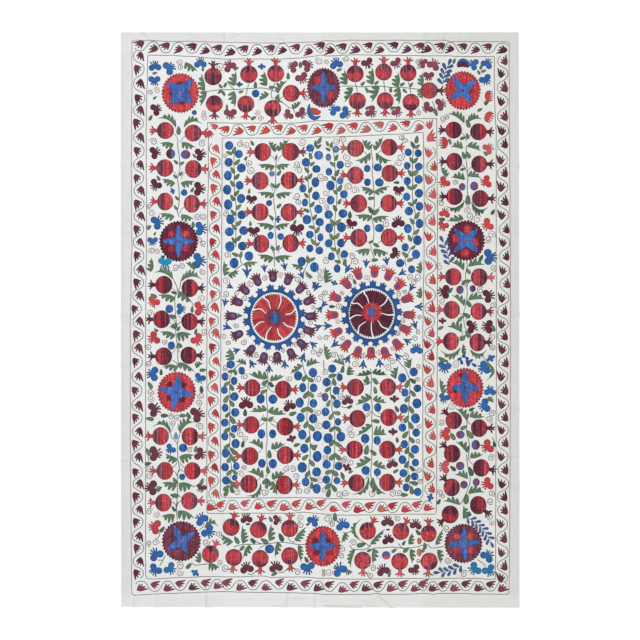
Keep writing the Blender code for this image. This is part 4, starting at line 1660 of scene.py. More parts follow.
LEAVES = (
    # x and y of its base, x and y of its tip, bow, depth of its lobes, lobes, dye if not green
    (-575, 770, -650, 805, -17, -16, 4), (-545, 770, -470, 783, 20, 16, 4),
    (-540, 1028, -490, 993, 4, -18, 3), (-463, 915, -475, 985, -3, 18, 3),
    (-455, 915, -478, 855, 3, -16, 3), (-345, 935, -337, 995, -4, 21, 3),
    (-345, 915, -342, 850, 5, -21, 3), (-215, 935, -225, 995, -4, 21, 3),
    (-205, 905, -247, 878, 3, -15, 2), (-170, 905, -130, 957, 6, 17, 3),
    (-165, 903, -150, 868, -8, -15, 2), (-110, 845, -75, 875, -4, 13, 2),
    (105, 940, 98, 1000, -4, 21, 3), (210, 940, 208, 1010, -4, 21, 3), (310, 930, 313, 990, -4, 21, 3),
    (408, 935, 408, 990, -3, 16, 2), (130, 930, 97, 870, 5, -18, 3), (235, 935, 205, 870, 5, -21, 3),
    (315, 930, 315, 860, 5, -18, 3), (402, 925, 408, 880, 3, -14, 2), (578, 788, 510, 825, -9, -17, 4),
    (590, 792, 648, 803, 9, 17, 4), (660, 858, 680, 880, 0, 10, 2, "pine"),
    (-585, 700, -641, 706, -4, 17, 3), (-553, 708, -498, 688, 4, -17, 3),
    (-580, 545, -633, 562, -4, 17, 3), (-556, 545, -499, 552, 4, -17, 3),
    (-582, 412, -644, 424, -4, 17, 3), (-556, 418, -504, 401, 4, -17, 3),
    (-690, 360, -672, 378, 0, 10, 2), (-178, 672, -205, 716, 3, -17, 3),
    (-168, 675, -124, 723, -3, 15, 3), (-180, 612, -250, 618, -4, 15, 3),
    (-174, 612, -118, 620, 4, -15, 3), (-182, 500, -250, 508, -4, 15, 3),
    (-176, 498, -108, 507, 4, -15, 3), (-183, 372, -255, 385, -4, 15, 3),
    (-178, 370, -118, 384, 4, -14, 3), (199, 680, 170, 722, 4, -19, 3), (218, 678, 252, 734, -5, 14, 3),
    (202, 668, 140, 637, 8, 18, 3), (224, 667, 287, 637, -8, -18, 3), (215, 510, 162, 532, -4, 17, 3),
    (217, 509, 279, 534, 4, -15, 3), (209, 412, 140, 416, -4, 17, 3), (210, 402, 277, 413, 4, -15, 3),
    (572, 687, 523, 692, -3, -19, 3), (588, 696, 645, 674, 4, 17, 3), (507, 571, 484, 615, 3, -14, 3),
    (580, 562, 523, 570, -3, -18, 3), (590, 577, 645, 567, 3, 16, 3),
    (578, 474, 501, 457, 20, 14, 4, "pine"), (607, 468, 675, 452, -22, -18, 4, "pine"),
    (575, 405, 507, 396, 3, -16, 3), (-677, 192, -676, 250, -7, 15, 2),
    (-588, 164, -662, 189, -14, -18, 4), (-557, 154, -471, 160, 20, 19, 5),
    (-500, 200, -538, 230, -2, -15, 3), (-579, 86, -647, 98, -6, 18, 3),
    (-566, 114, -510, 67, 4, -18, 3), (-572, -14, -602, -30, 0, 14, 2),
    (-579, -63, -641, -49, -6, 18, 3), (-574, -57, -513, -60, 6, -25, 3),
    (-551, -110, -568, -88, 0, 13, 2), (-380, 176, -382, 236, 3, -17, 3),
    (-366, 176, -322, 196, 4, -15, 2), (-305, 222, -249, 229, 4, -15, 3),
    (-185, 246, -250, 259, -4, 19, 3), (-181, 247, -111, 254, 4, -18, 3),
    (-67, 204, -117, 222, -4, 12, 2), (-30, 168, -58, 197, 2, 10, 2, "olive"),
    (24, 147, 22, 212, 3, -22, 4), (200, 280, 140, 273, -3, 18, 3), (212, 281, 277, 262, 4, -19, 3),
    (400, 185, 403, 238, -3, 15, 3), (402, 86, 402, 134, -3, 15, 3), (31, -160, 18, -96, 3, -17, 4),
    (576, 200, 523, 231, -6, -18, 3), (593, 215, 659, 220, 5, 18, 3), (579, 57, 526, 100, -5, -15, 3),
    (593, 81, 662, 82, 5, 18, 3), (568, -48, 509, -27, -6, -24, 3),
    (-568, -192, -632, -192, -10, 16, 3), (-565, -172, -501, -209, 6, -16, 3),
    (-496, -192, -468, -172, 2, 14, 3), (-596, -456, -672, -428, -26, -14, 4),
    (-560, -453, -497, -409, 16, 21, 4), (-570, -560, -620, -535, 0, 18, 3),
    (-345, -160, -364, -112, -4, 23, 3), (-295, -178, -337, -166, -3, -12, 3),
    (-210, -234, -286, -214, 5, -20, 3), (-200, -241, -141, -223, -4, 14, 3),
    (-211, -359, -280, -366, 2, -17, 3), (-208, -366, -133, -375, -6, 19, 3),
    (-212, -404, -238, -392, 2, -10, 2), (-208, -404, -184, -386, 2, -11, 2, "olive"),
    (-228, -515, -286, -489, -6, -18, 3), (-195, -515, -139, -494, -4, 17, 3),
    (-54, -184, 0, -170, 3, 17, 3), (-71, -181, -121, -216, 3, -13, 3),
    (98, -178, 46, -165, -2, -13, 2), (112, -222, 118, -180, 2, -19, 3),
    (-36, -508, -7, -500, 0, -12, 2), (205, -212, 143, -222, 3, -12, 3, "pine"),
    (209, -210, 271, -219, -3, 15, 3, "pine"), (207, -308, 142, -339, 4, -19, 3),
    (212, -316, 267, -331, -4, 16, 3), (207, -420, 145, -464, 4, -14, 2),
    (214, -456, 268, -459, 0, 26, 3), (358, -195, 368, -153, 2, 20, 3),
    (301, -236, 314, -184, 2, 18, 3), (562, -112, 480, -120, 24, 16, 4),
    (600, -120, 668, -120, -19, -15, 4), (572, -136, 575, -95, 2, -11, 3),
    (670, -170, 662, -243, 28, -12, 3), (495, -297, 481, -232, 4, -14, 3),
    (668, -315, 697, -330, 0, 12, 2), (590, -402, 543, -353, -4, -17, 3),
    (598, -384, 659, -387, -4, 18, 3), (592, -531, 543, -486, -4, -17, 3),
    (600, -550, 653, -537, -3, 15, 2), (-562, -550, -502, -541, 5, -23, 3),
    (-572, -664, -633, -653, -6, 21, 3), (-565, -656, -505, -667, 6, -25, 3),
    (-650, -688, -630, -666, 0, 14, 2), (-225, -632, -290, -606, -5, -20, 3),
    (-192, -636, -138, -608, -4, 18, 3), (-236, -655, -296, -703, 20, 12, 4),
    (-190, -645, -172, -702, 4, -18, 3), (203, -556, 137, -594, 4, -19, 3),
    (212, -574, 270, -596, -4, 16, 3), (195, -628, 127, -698, 22, 11, 4),
    (212, -631, 268, -698, -14, -19, 3), (592, -634, 540, -618, -3, -18, 3),
    (594, -694, 659, -690, 5, 20, 3), (560, -738, 492, -724, -4, -16, 3),
    (576, -796, 575, -742, 0, -20, 3), (-580, -782, -634, -786, -3, 23, 3),
    (-569, -766, -502, -795, 9, -23, 3), (-462, -834, -404, -829, 20, 14, 3),
    (-348, -890, -396, -858, 0, 20, 3), (-482, -972, -481, -924, -3, 15, 2),
    (-445, -976, -401, -992, 3, -20, 3), (-307, -895, -309, -822, 3, -18, 4),
    (-200, -885, -193, -816, 5, -18, 3), (-100, -883, -55, -829, 4, -18, 4),
    (-281, -900, -306, -953, -4, 16, 3), (-167, -888, -178, -951, -3, 15, 3),
    (-84, -900, -74, -970, -3, 13, 4), (160, -882, 166, -796, 26, 12, 4),
    (104, -852, 87, -893, -2, 14, 3), (203, -897, 262, -835, 3, -13, 4),
    (140, -917, 123, -992, -6, -14, 4), (216, -915, 213, -977, -3, 17, 3),
    (105, -1003, 131, -1010, 2, -14, 2, "olive"), (358, -899, 371, -851, 4, -15, 3),
    (364, -916, 371, -975, -3, 14, 3), (464, -900, 493, -837, 3, -12, 4),
    (473, -918, 485, -975, -3, 15, 3),
)

BUDS = (
    # x, y, angle, length, dye if not green
    (-677, 808, 60, 22), (-565, 757, 90, 30), (-660, 987, 20, 18, "olive"), (-660, 888, 40, 16),
    (-398, 935, 130, 20), (-378, 940, 60, 20), (-400, 912, 220, 20), (-385, 905, 300, 20),
    (-372, 852, 90, 18), (-335, 1005, 30, 20), (-468, 1003, 90, 16), (-258, 940, 90, 24),
    (-192, 930, 0, 22), (-315, 912, 20, 18), (-265, 807, 30, 22), (-127, 975, 90, 24),
    (-78, 1020, 90, 22, "pine"), (172, 945, 45, 20), (227, 948, 45, 20), (330, 942, 30, 20),
    (365, 940, 50, 20), (283, 920, 90, 20), (340, 915, 315, 20), (186, 922, 120, 18),
    (195, 914, 20, 18), (192, 848, 30, 20), (293, 847, 20, 22), (78, 1000, 20, 20), (645, 1012, 70, 20),
    (655, 995, 20, 20), (635, 990, 120, 18), (537, 1035, 70, 20), (640, 840, 30, 20),
    (592, 785, 110, 30), (590, 735, 110, 22), (572, 727, 20, 22), (463, 830, 290, 28, "olive"),
    (-576, 631, 135, 20), (-552, 626, 30, 20), (-646, 567, 120, 20), (-580, 574, 130, 18),
    (-555, 585, 50, 18), (-572, 487, 135, 20), (-577, 449, 120, 18), (-510, 520, 60, 20),
    (-507, 381, 90, 22), (-502, 656, 135, 18), (-660, 345, 60, 14), (-175, 649, 90, 16),
    (-271, 707, 120, 20), (-296, 646, 60, 18), (-163, 587, 50, 22), (-188, 538, 135, 22),
    (-168, 537, 50, 22), (-163, 456, 45, 22), (-194, 409, 130, 22), (-100, 391, 60, 18),
    (-283, 515, 90, 18), (-278, 385, 90, 18), (-189, 287, 120, 22), (-168, 288, 60, 22),
    (-343, 679, 70, 26), (-363, 667, 160, 24, "olive"), (-330, 631, 45, 26), (-349, 598, 120, 26),
    (-331, 573, 50, 26), (-350, 545, 125, 26), (-333, 507, 45, 26), (-350, 488, 120, 26),
    (-325, 452, 45, 26, "olive"), (-347, 429, 130, 26), (-324, 387, 45, 26, "olive"),
    (-343, 371, 130, 26), (-324, 327, 50, 26), (-344, 318, 125, 26), (-1, 718, 65, 26, "vine"),
    (-17, 704, 95, 24), (-4, 693, 40, 22), (-38, 656, 110, 24), (-30, 624, 40, 22), (-38, 575, 60, 24),
    (-53, 599, 130, 24), (-54, 565, 115, 20), (-38, 520, 60, 24), (-55, 498, 130, 22),
    (-30, 462, 50, 24), (-54, 438, 150, 24), (-20, 411, 55, 24), (-33, 371, 165, 24, "olive"),
    (-9, 360, 60, 26, "olive"), (-28, 313, 125, 26, "olive"), (-8, 303, 35, 20, "olive"),
    (30, 705, 115, 20), (46, 700, 75, 22), (32, 682, 150, 20), (66, 649, 65, 24),
    (49, 624, 140, 24, "olive"), (69, 588, 60, 28), (54, 567, 130, 22), (80, 527, 60, 28),
    (61, 511, 130, 22), (79, 473, 60, 22), (60, 447, 115, 26), (50, 390, 120, 28, "olive"),
    (73, 391, 50, 28, "olive"), (47, 332, 120, 28, "olive"), (70, 336, 55, 26, "olive"),
    (206, 486, 5, 24), (202, 440, 120, 28, "pine"), (224, 432, 40, 30), (120, 420, 90, 26, "pine"),
    (205, 312, 30, 18), (226, 298, 330, 24), (306, 549, 180, 20, "pine"), (387, 721, 80, 28),
    (371, 701, 120, 26, "pine"), (390, 693, 40, 22, "olive"), (365, 640, 115, 22), (382, 638, 45, 26),
    (361, 587, 125, 28), (384, 590, 45, 30, "olive"), (356, 530, 140, 22), (377, 532, 35, 28),
    (362, 463, 150, 22), (381, 474, 55, 24), (390, 418, 60, 28, "olive"), (368, 395, 125, 26),
    (387, 352, 45, 26, "olive"), (359, 327, 115, 26, "olive"), (374, 290, 45, 20), (520, 712, 290, 22),
    (575, 658, 105, 26), (592, 660, 120, 28), (572, 602, 15, 20), (592, 481, 90, 34),
    (662, 665, 130, 20), (692, 431, 60, 22, "pine"), (487, 402, 175, 24, "pine"),
    (-628, 253, 160, 16, "pine"), (-585, 109, 160, 20, "pine"), (-665, 96, 150, 26), (-511, 41, 90, 22),
    (-588, 14, 160, 26), (-565, -35, 60, 20), (-655, -41, 150, 18), (-496, -47, 80, 22),
    (-339, 261, 155, 26), (-316, 261, 75, 24), (-48, 242, 100, 28, "olive"),
    (-30, 242, 25, 24, "olive"), (53, 283, 155, 24, "olive"), (74, 275, 70, 24, "olive"),
    (71, 233, 165, 24), (100, 231, 80, 26), (220, 239, 5, 24), (340, 261, 140, 28, "olive"),
    (362, 240, 20, 26, "olive"), (138, 153, 115, 22), (49, 53, 0, 22, "pine"),
    (645, 248, 60, 24, "pine"), (522, 118, 50, 24, "pine"), (575, 149, 60, 22), (591, 155, 10, 24),
    (593, 195, 125, 24), (595, 65, 120, 28), (668, 75, 150, 18, "pine"), (586, 18, 150, 30),
    (562, 4, 50, 24), (484, -32, 30, 22), (693, -33, 110, 26), (572, -72, 40, 28), (592, -57, 130, 28),
    (-468, -201, 5, 24), (-635, -209, 90, 22, "pine"), (-679, -262, 120, 28),
    (-474, -278, 95, 26, "pine"), (-621, -383, 0, 28, "pine"), (-547, -383, 0, 26),
    (-526, -383, 115, 26), (-680, -396, 170, 28), (-576, -464, 90, 26, "slate"),
    (-687, -528, 115, 28, "vine"), (-496, -517, 80, 24, "vine"), (-358, -206, 190, 22),
    (-339, -208, 105, 24), (-371, -255, 35, 26, "olive"), (-353, -270, 115, 26),
    (-374, -316, 60, 32, "olive"), (-353, -334, 125, 28), (-369, -380, 50, 24), (-350, -400, 120, 32),
    (-371, -441, 40, 28), (-350, -461, 135, 26), (-371, -506, 45, 28), (-347, -525, 125, 30),
    (-354, -548, 110, 26, "olive"), (-219, -252, 50, 26), (-197, -258, 135, 26, "pine"),
    (-225, -287, 30, 26), (-299, -371, 90, 26, "pine"), (-108, -375, 20, 28),
    (-308, -497, 80, 24, "pine"), (-92, -500, 20, 24), (-202, -537, 95, 30), (-61, -233, 60, 28),
    (-39, -239, 150, 28, "olive"), (-55, -300, 55, 30, "olive"), (-36, -298, 130, 28, "olive"),
    (-61, -359, 30, 30, "olive"), (-41, -359, 140, 30, "olive"), (-55, -419, 60, 28),
    (-33, -431, 130, 30), (-47, -478, 55, 28), (-28, -509, 130, 28), (-58, -550, 40, 28, "olive"),
    (49, -223, 20, 28), (57, -248, 105, 28), (32, -278, 40, 24), (54, -309, 130, 22, "pine"),
    (35, -334, 65, 26, "olive"), (67, -373, 170, 28, "olive"), (45, -387, 60, 26, "olive"),
    (49, -437, 40, 26), (71, -436, 140, 28), (49, -492, 50, 28), (70, -497, 140, 28, "olive"),
    (52, -547, 45, 34), (71, -548, 130, 30), (91, -198, 80, 26), (189, -240, 95, 30),
    (181, -246, 140, 18), (221, -245, 130, 28), (221, -281, 100, 26), (120, -348, 30, 20, "pine"),
    (307, -356, 120, 24, "pine"), (223, -405, 170, 28), (309, -480, 100, 20, "pine"),
    (187, -520, 80, 34), (213, -531, 140, 28), (349, -256, 70, 30, "olive"),
    (371, -244, 140, 26, "pine"), (371, -294, 130, 28), (351, -316, 50, 28), (365, -359, 120, 30),
    (346, -397, 60, 30), (363, -422, 120, 30), (342, -459, 50, 30), (367, -480, 130, 28),
    (349, -522, 65, 28), (365, -541, 130, 28), (576, -141, 60, 20, "indigo"),
    (559, -156, 30, 18, "indigo"), (566, -168, 110, 20, "indigo"), (586, -152, 150, 18, "indigo"),
    (589, -166, 100, 22, "indigo"), (603, -164, 30, 20, "indigo"), (595, -177, 60, 18, "indigo"),
    (616, -180, 150, 20, "indigo"), (487, -158, 150, 28), (503, -164, 160, 18),
    (607, -358, 30, 22, "pine"), (575, -431, 30, 26), (600, -458, 125, 34), (531, -466, 120, 30),
    (697, -497, 100, 22, "pine"), (-687, -575, 10, 24, "pine"), (-580, -644, 115, 26),
    (-472, -647, 70, 26, "vine"), (-582, -703, 170, 30), (-363, -559, 60, 26, "olive"),
    (-347, -556, 120, 28), (-363, -611, 50, 26, "olive"), (-342, -608, 135, 24), (-350, -656, 120, 28),
    (-374, -672, 45, 28), (-353, -678, 115, 28), (-374, -692, 60, 28), (-330, -667, 70, 18, "olive"),
    (-208, -600, 100, 26), (-221, -646, 60, 24), (-206, -646, 120, 24), (-213, -662, 90, 24),
    (-33, -572, 130, 30, "olive"), (-49, -616, 60, 28), (-30, -637, 150, 24), (-33, -662, 80, 24),
    (37, -608, 20, 30, "olive"), (57, -612, 145, 34, "olive"), (90, -622, 110, 26), (34, -664, 40, 30),
    (56, -673, 125, 30), (35, -692, 75, 32), (-24, -639, 160, 26), (123, -608, 20, 18, "olive"),
    (304, -605, 30, 22), (211, -653, 90, 36), (338, -700, 0, 26), (348, -578, 60, 28),
    (368, -594, 135, 26, "pine"), (352, -634, 60, 30), (376, -653, 165, 30), (367, -681, 95, 30),
    (60, -788, 90, 30), (532, -594, 140, 26, "pine"), (603, -606, 110, 34, "pine"), (586, -717, 80, 36),
    (476, -727, 60, 22, "pine"), (-630, -838, 50, 25, "pine"), (-585, -756, 125, 22, "pine"),
    (-524, -984, 45, 26), (-333, -881, 120, 30), (-287, -817, 0, 16, "pine"), (-312, -914, 225, 24),
    (-269, -884, 140, 24, "pine"), (-222, -884, 150, 30), (-155, -870, 115, 32, "pine"),
    (-197, -797, 120, 22), (-47, -817, 30, 16, "pine"), (-54, -959, 120, 24, "pine"),
    (-183, -1016, 210, 24), (165, -900, 15, 32), (273, -839, 0, 14, "pine"),
    (392, -850, 130, 24, "pine"), (197, -922, 35, 18), (297, -923, 35, 22), (336, -892, 60, 20),
    (345, -920, 40, 26), (420, -904, 100, 24), (414, -919, 70, 22), (278, -1019, 60, 18),
)

BERRIES = (
    # x, y, rx, ry, dye if not blue
    (-257, 905, 14, 14), (-502, 829, 9, 9), (-543, 509, 12, 12), (-192, 584, 10, 10, "slate"),
    (-203, 467, 11, 11, "indigo"), (-197, 338, 11, 13), (-157, 333, 12, 12), (-363, 697, 15, 16),
    (-365, 630, 15, 16), (-368, 577, 14, 18), (-371, 520, 15, 18), (-367, 461, 15, 19),
    (-358, 402, 15, 18), (-362, 352, 16, 16), (-360, 293, 17, 19), (-324, 663, 14, 15),
    (-314, 607, 16, 16), (-321, 538, 14, 16), (-315, 485, 15, 17), (-313, 420, 15, 16),
    (-305, 357, 16, 16), (-310, 295, 16, 16), (-39, 687, 14, 14), (-5, 658, 16, 16, "cornflower"),
    (-56, 630, 15, 16), (-14, 603, 15, 14), (-18, 550, 14, 18), (-68, 526, 13, 15), (-16, 496, 14, 16),
    (-60, 469, 11, 14), (-6, 443, 15, 16), (-52, 401, 16, 17), (-1, 391, 15, 15), (-40, 341, 14, 14),
    (2, 330, 11, 15), (-40, 286, 13, 14), (-2, 277, 14, 14), (64, 682, 12, 13, "slate"),
    (34, 650, 10, 13, "slate"), (81, 620, 13, 15), (36, 592, 12, 14), (81, 556, 12, 13, "cornflower"),
    (42, 537, 15, 18), (96, 502, 14, 15), (43, 479, 14, 16), (92, 425, 16, 16), (35, 421, 15, 16),
    (86, 370, 16, 18), (37, 367, 14, 17), (84, 307, 14, 16), (35, 306, 14, 15), (189, 605, 12, 13),
    (231, 609, 15, 14), (190, 550, 12, 14), (238, 549, 16, 15), (189, 366, 12, 14), (238, 367, 16, 15),
    (353, 670, 13, 14), (349, 616, 12, 14), (349, 555, 13, 15), (347, 492, 13, 15), (356, 435, 15, 16),
    (352, 365, 14, 17), (341, 290, 13, 15), (393, 666, 13, 14), (395, 613, 14, 14), (395, 562, 15, 16),
    (396, 506, 15, 16), (398, 454, 14, 16), (398, 385, 14, 17), (390, 318, 16, 18), (-602, 44, 14, 15),
    (-594, -103, 13, 15), (-284, 255, 16, 17), (-343, 227, 16, 19), (-73, 233, 15, 17),
    (-22, 211, 16, 18), (46, 254, 12, 15), (98, 263, 13, 14), (69, 205, 12, 15), (384, 262, 15, 17),
    (321, 227, 15, 15), (367, 202, 13, 14), (-547, -512, 15, 15), (-357, -178, 15, 15),
    (-313, -203, 12, 14), (-379, -227, 13, 15), (-343, -244, 12, 15), (-382, -281, 12, 14),
    (-342, -307, 15, 16), (-379, -352, 12, 15), (-339, -370, 15, 16), (-380, -411, 14, 15),
    (-343, -436, 12, 14), (-380, -466, 13, 15), (-337, -495, 15, 17), (-377, -533, 14, 17),
    (-237, -316, 15, 17), (-188, -317, 16, 17), (-234, -456, 14, 17), (-189, -456, 13, 16),
    (-87, -224, 15, 17), (-28, -211, 15, 17), (-69, -271, 13, 17), (-25, -272, 14, 16),
    (-81, -331, 15, 18), (-26, -334, 14, 16), (-77, -391, 15, 17), (-27, -395, 15, 17),
    (-70, -459, 15, 18), (-62, -514, 15, 17), (49, -195, 15, 15), (79, -230, 11, 14),
    (27, -249, 15, 16), (65, -283, 13, 15), (21, -309, 12, 16, "violet"), (68, -336, 14, 16),
    (22, -368, 14, 16), (73, -408, 11, 14), (26, -420, 15, 16), (33, -473, 17, 18), (84, -467, 16, 18),
    (30, -521, 14, 16), (-10, -465, 17, 19), (-11, -546, 16, 20), (186, -349, 14, 15),
    (231, -350, 13, 16), (181, -475, 15, 17), (229, -482, 13, 16), (329, -232, 15, 17),
    (340, -291, 13, 15), (336, -355, 15, 17), (330, -431, 14, 15), (338, -497, 13, 15),
    (375, -208, 15, 16), (390, -274, 14, 14), (388, -334, 16, 18), (382, -394, 16, 18),
    (385, -451, 14, 15), (380, -518, 15, 16), (-551, -628, 11, 12), (-379, -589, 14, 15),
    (-334, -585, 12, 14), (-376, -642, 14, 15), (-341, -631, 10, 11), (-232, -574, 14, 16),
    (-188, -575, 15, 17), (-71, -590, 17, 19), (-57, -648, 14, 16), (27, -578, 15, 16),
    (74, -585, 14, 15), (-13, -608, 16, 17), (26, -639, 14, 15), (68, -643, 12, 13),
    (-13, -675, 15, 18), (183, -602, 15, 16), (230, -609, 13, 14), (330, -559, 14, 16),
    (334, -613, 14, 15), (345, -670, 12, 15), (382, -571, 13, 14), (379, -626, 14, 14),
    (391, -688, 14, 15), (-201, -916, 17, 16), (398, -884, 8, 13, "salmon"),
    (397, -930, 9, 14, "salmon"),
)

TWO_TONE_BERRIES = (
    # x, y, rx, ry, dye, second dye, angle of the second
    (-597, 664, 18, 20, "violet", "wine", 180), (-537, 661, 19, 18, "mulberry", "violet", 180),
    (569, 532, 13, 15, "mulberry", "violet", 320), (617, 535, 16, 18, "mulberry", "violet", 180),
    (560, 120, 15, 17, "mulberry", "violet", 320), (611, 125, 12, 14, "violet", "wine", 0),
    (562, -459, 17, 16, "mulberry", "violet", 0), (623, -500, 17, 20, "plum", "violet", 180),
    (561, -584, 17, 17, "mulberry", "violet", 320), (625, -649, 14, 16, "mulberry", "violet", 180),
    (576, -659, 15, 16, "mulberry", "violet", 300), (265, -942, 17, 17, "rose", "violet", 100),
)

CURLS = (
    # x, y, radius
    (-560, 1032, 11), (-560, 1011, 10), (-652, 917, 11), (-680, 910, 9), (-463, 828, 9),
    (-463, 807, 11), (-397, 1013, 15), (-665, 712, 13), (-470, 705, 13), (-3, 1035, 13), (27, 1030, 9),
    (-52, 885, 10), (-248, 830, 10), (-237, 805, 10), (105, 1045, 11), (395, 1030, 11), (397, 1010, 8),
    (397, 828, 10), (325, 730, 10), (340, 715, 10), (65, 715, 13), (92, 719, 13), (490, 803, 11),
    (507, 810, 9), (-682, 454, 9), (-674, 427, 12), (-490, 413, 11), (-466, 413, 12), (-482, 318, 11),
    (-466, 306, 11), (-321, 704, 12), (-294, 701, 12), (-380, 657, 8), (-282, 626, 12), (-275, 599, 14),
    (-377, 424, 11), (-71, 712, 14), (-93, 621, 13), (-83, 598, 12), (-93, 495, 13), (-88, 470, 11),
    (4, 571, 14), (23, 564, 8), (24, 507, 12), (7, 474, 13), (26, 452, 10), (109, 649, 14),
    (114, 621, 13), (115, 532, 14), (140, 518, 14), (323, 651, 14), (315, 626, 13), (266, 384, 14),
    (541, 549, 10), (484, 466, 13), (592, 437, 12), (598, 414, 14), (630, 403, 15), (687, 340, 14),
    (672, 322, 12), (-671, 275, 12), (-650, 272, 10), (-578, 210, 12), (-551, 214, 11), (-468, 191, 11),
    (-472, 85, 13), (-679, 27, 12), (-464, -48, 12), (-622, -88, 10), (-686, -107, 12), (-222, 167, 10),
    (-276, 143, 12), (-155, 180, 10), (-90, 160, 12), (-331, 107, 10), (-302, 88, 11), (-45, 107, 9),
    (-333, -23, 10), (-306, -90, 11), (-385, -68, 11), (-368, -93, 9), (-376, 155, 13), (-376, 104, 12),
    (-370, 258, 12), (-36, -12, 10), (-72, -60, 11), (-98, -100, 9), (-27, 48, 8), (23, 236, 13),
    (128, 254, 12), (141, 232, 14), (0, 195, 12), (0, 165, 12), (122, 171, 10), (187, 168, 11),
    (255, 205, 11), (304, 163, 8), (340, 114, 8), (314, 103, 10), (90, 107, 8), (5, 90, 11),
    (22, 107, 10), (74, 53, 12), (71, -7, 10), (330, -3, 9), (90, -72, 9), (312, -52, 9),
    (291, -113, 9), (400, 11, 8), (394, -49, 9), (380, -75, 11), (26, -72, 10), (0, -70, 9),
    (2, -125, 9), (362, 172, 11), (390, 170, 14), (377, 150, 12), (478, 212, 13), (693, 206, 12),
    (490, 75, 11), (642, 118, 13), (692, 59, 12), (690, -67, 12), (692, -110, 10), (-685, -175, 11),
    (-677, -287, 12), (-676, -314, 12), (-476, -302, 12), (-485, -331, 12), (-479, -427, 13),
    (-519, -520, 10), (-596, -387, 11), (-571, -389, 11), (-588, -411, 11), (-317, -456, 13),
    (-297, -475, 11), (-300, -227, 12), (-121, -234, 11), (-253, -142, 10), (-197, -156, 11),
    (-146, -123, 8), (-380, -191, 10), (-26, -130, 11), (-2, -137, 10), (57, -141, 12), (82, -148, 10),
    (140, -175, 13), (177, -144, 10), (234, -131, 10), (288, -167, 12), (273, -192, 13),
    (341, -148, 13), (21, -206, 12), (-7, -234, 14), (-1, -300, 9), (-7, -370, 12), (-2, -423, 14),
    (84, -305, 12), (118, -437, 12), (126, -462, 13), (21, -550, 10), (99, -553, 10), (392, -239, 9),
    (393, -186, 9), (393, -484, 9), (398, -425, 9), (543, -175, 14), (526, -344, 14), (486, -409, 11),
    (676, -397, 12), (689, -375, 12), (-685, -594, 11), (-683, -623, 13), (-302, -592, 9),
    (-316, -616, 12), (-332, -689, 12), (-221, -689, 13), (-136, -594, 12), (-108, -597, 12),
    (-96, -625, 12), (-82, -686, 12), (-53, -683, 12), (96, -564, 12), (124, -569, 12), (2, -642, 12),
    (77, -700, 13), (102, -691, 13), (207, -695, 13), (290, -694, 14), (317, -691, 11), (396, -600, 11),
    (31, -797, 15), (48, -817, 10), (312, -794, 11), (18, -681, 10), (686, -552, 12), (401, -647, 9),
    (686, -695, 12), (682, -725, 12), (482, -689, 11), (490, -706, 9), (682, -789, 11), (689, -812, 9),
    (507, -834, 12), (-682, -767, 12), (-654, -779, 11), (-657, -891, 12), (-683, -894, 10),
    (-560, -984, 14), (-560, -1012, 12), (-455, -889, 13), (-405, -858, 12), (-377, -992, 13),
    (-401, -969, 10), (-76, -791, 12), (-76, -820, 12), (-90, -1009, 12), (37, -1008, 13),
    (14, -1005, 6), (14, -1018, 7), (134, -891, 12), (91, -915, 12), (86, -945, 11), (212, -994, 12),
    (203, -1022, 11), (394, -963, 8), (512, -962, 12), (577, -1016, 13),
)

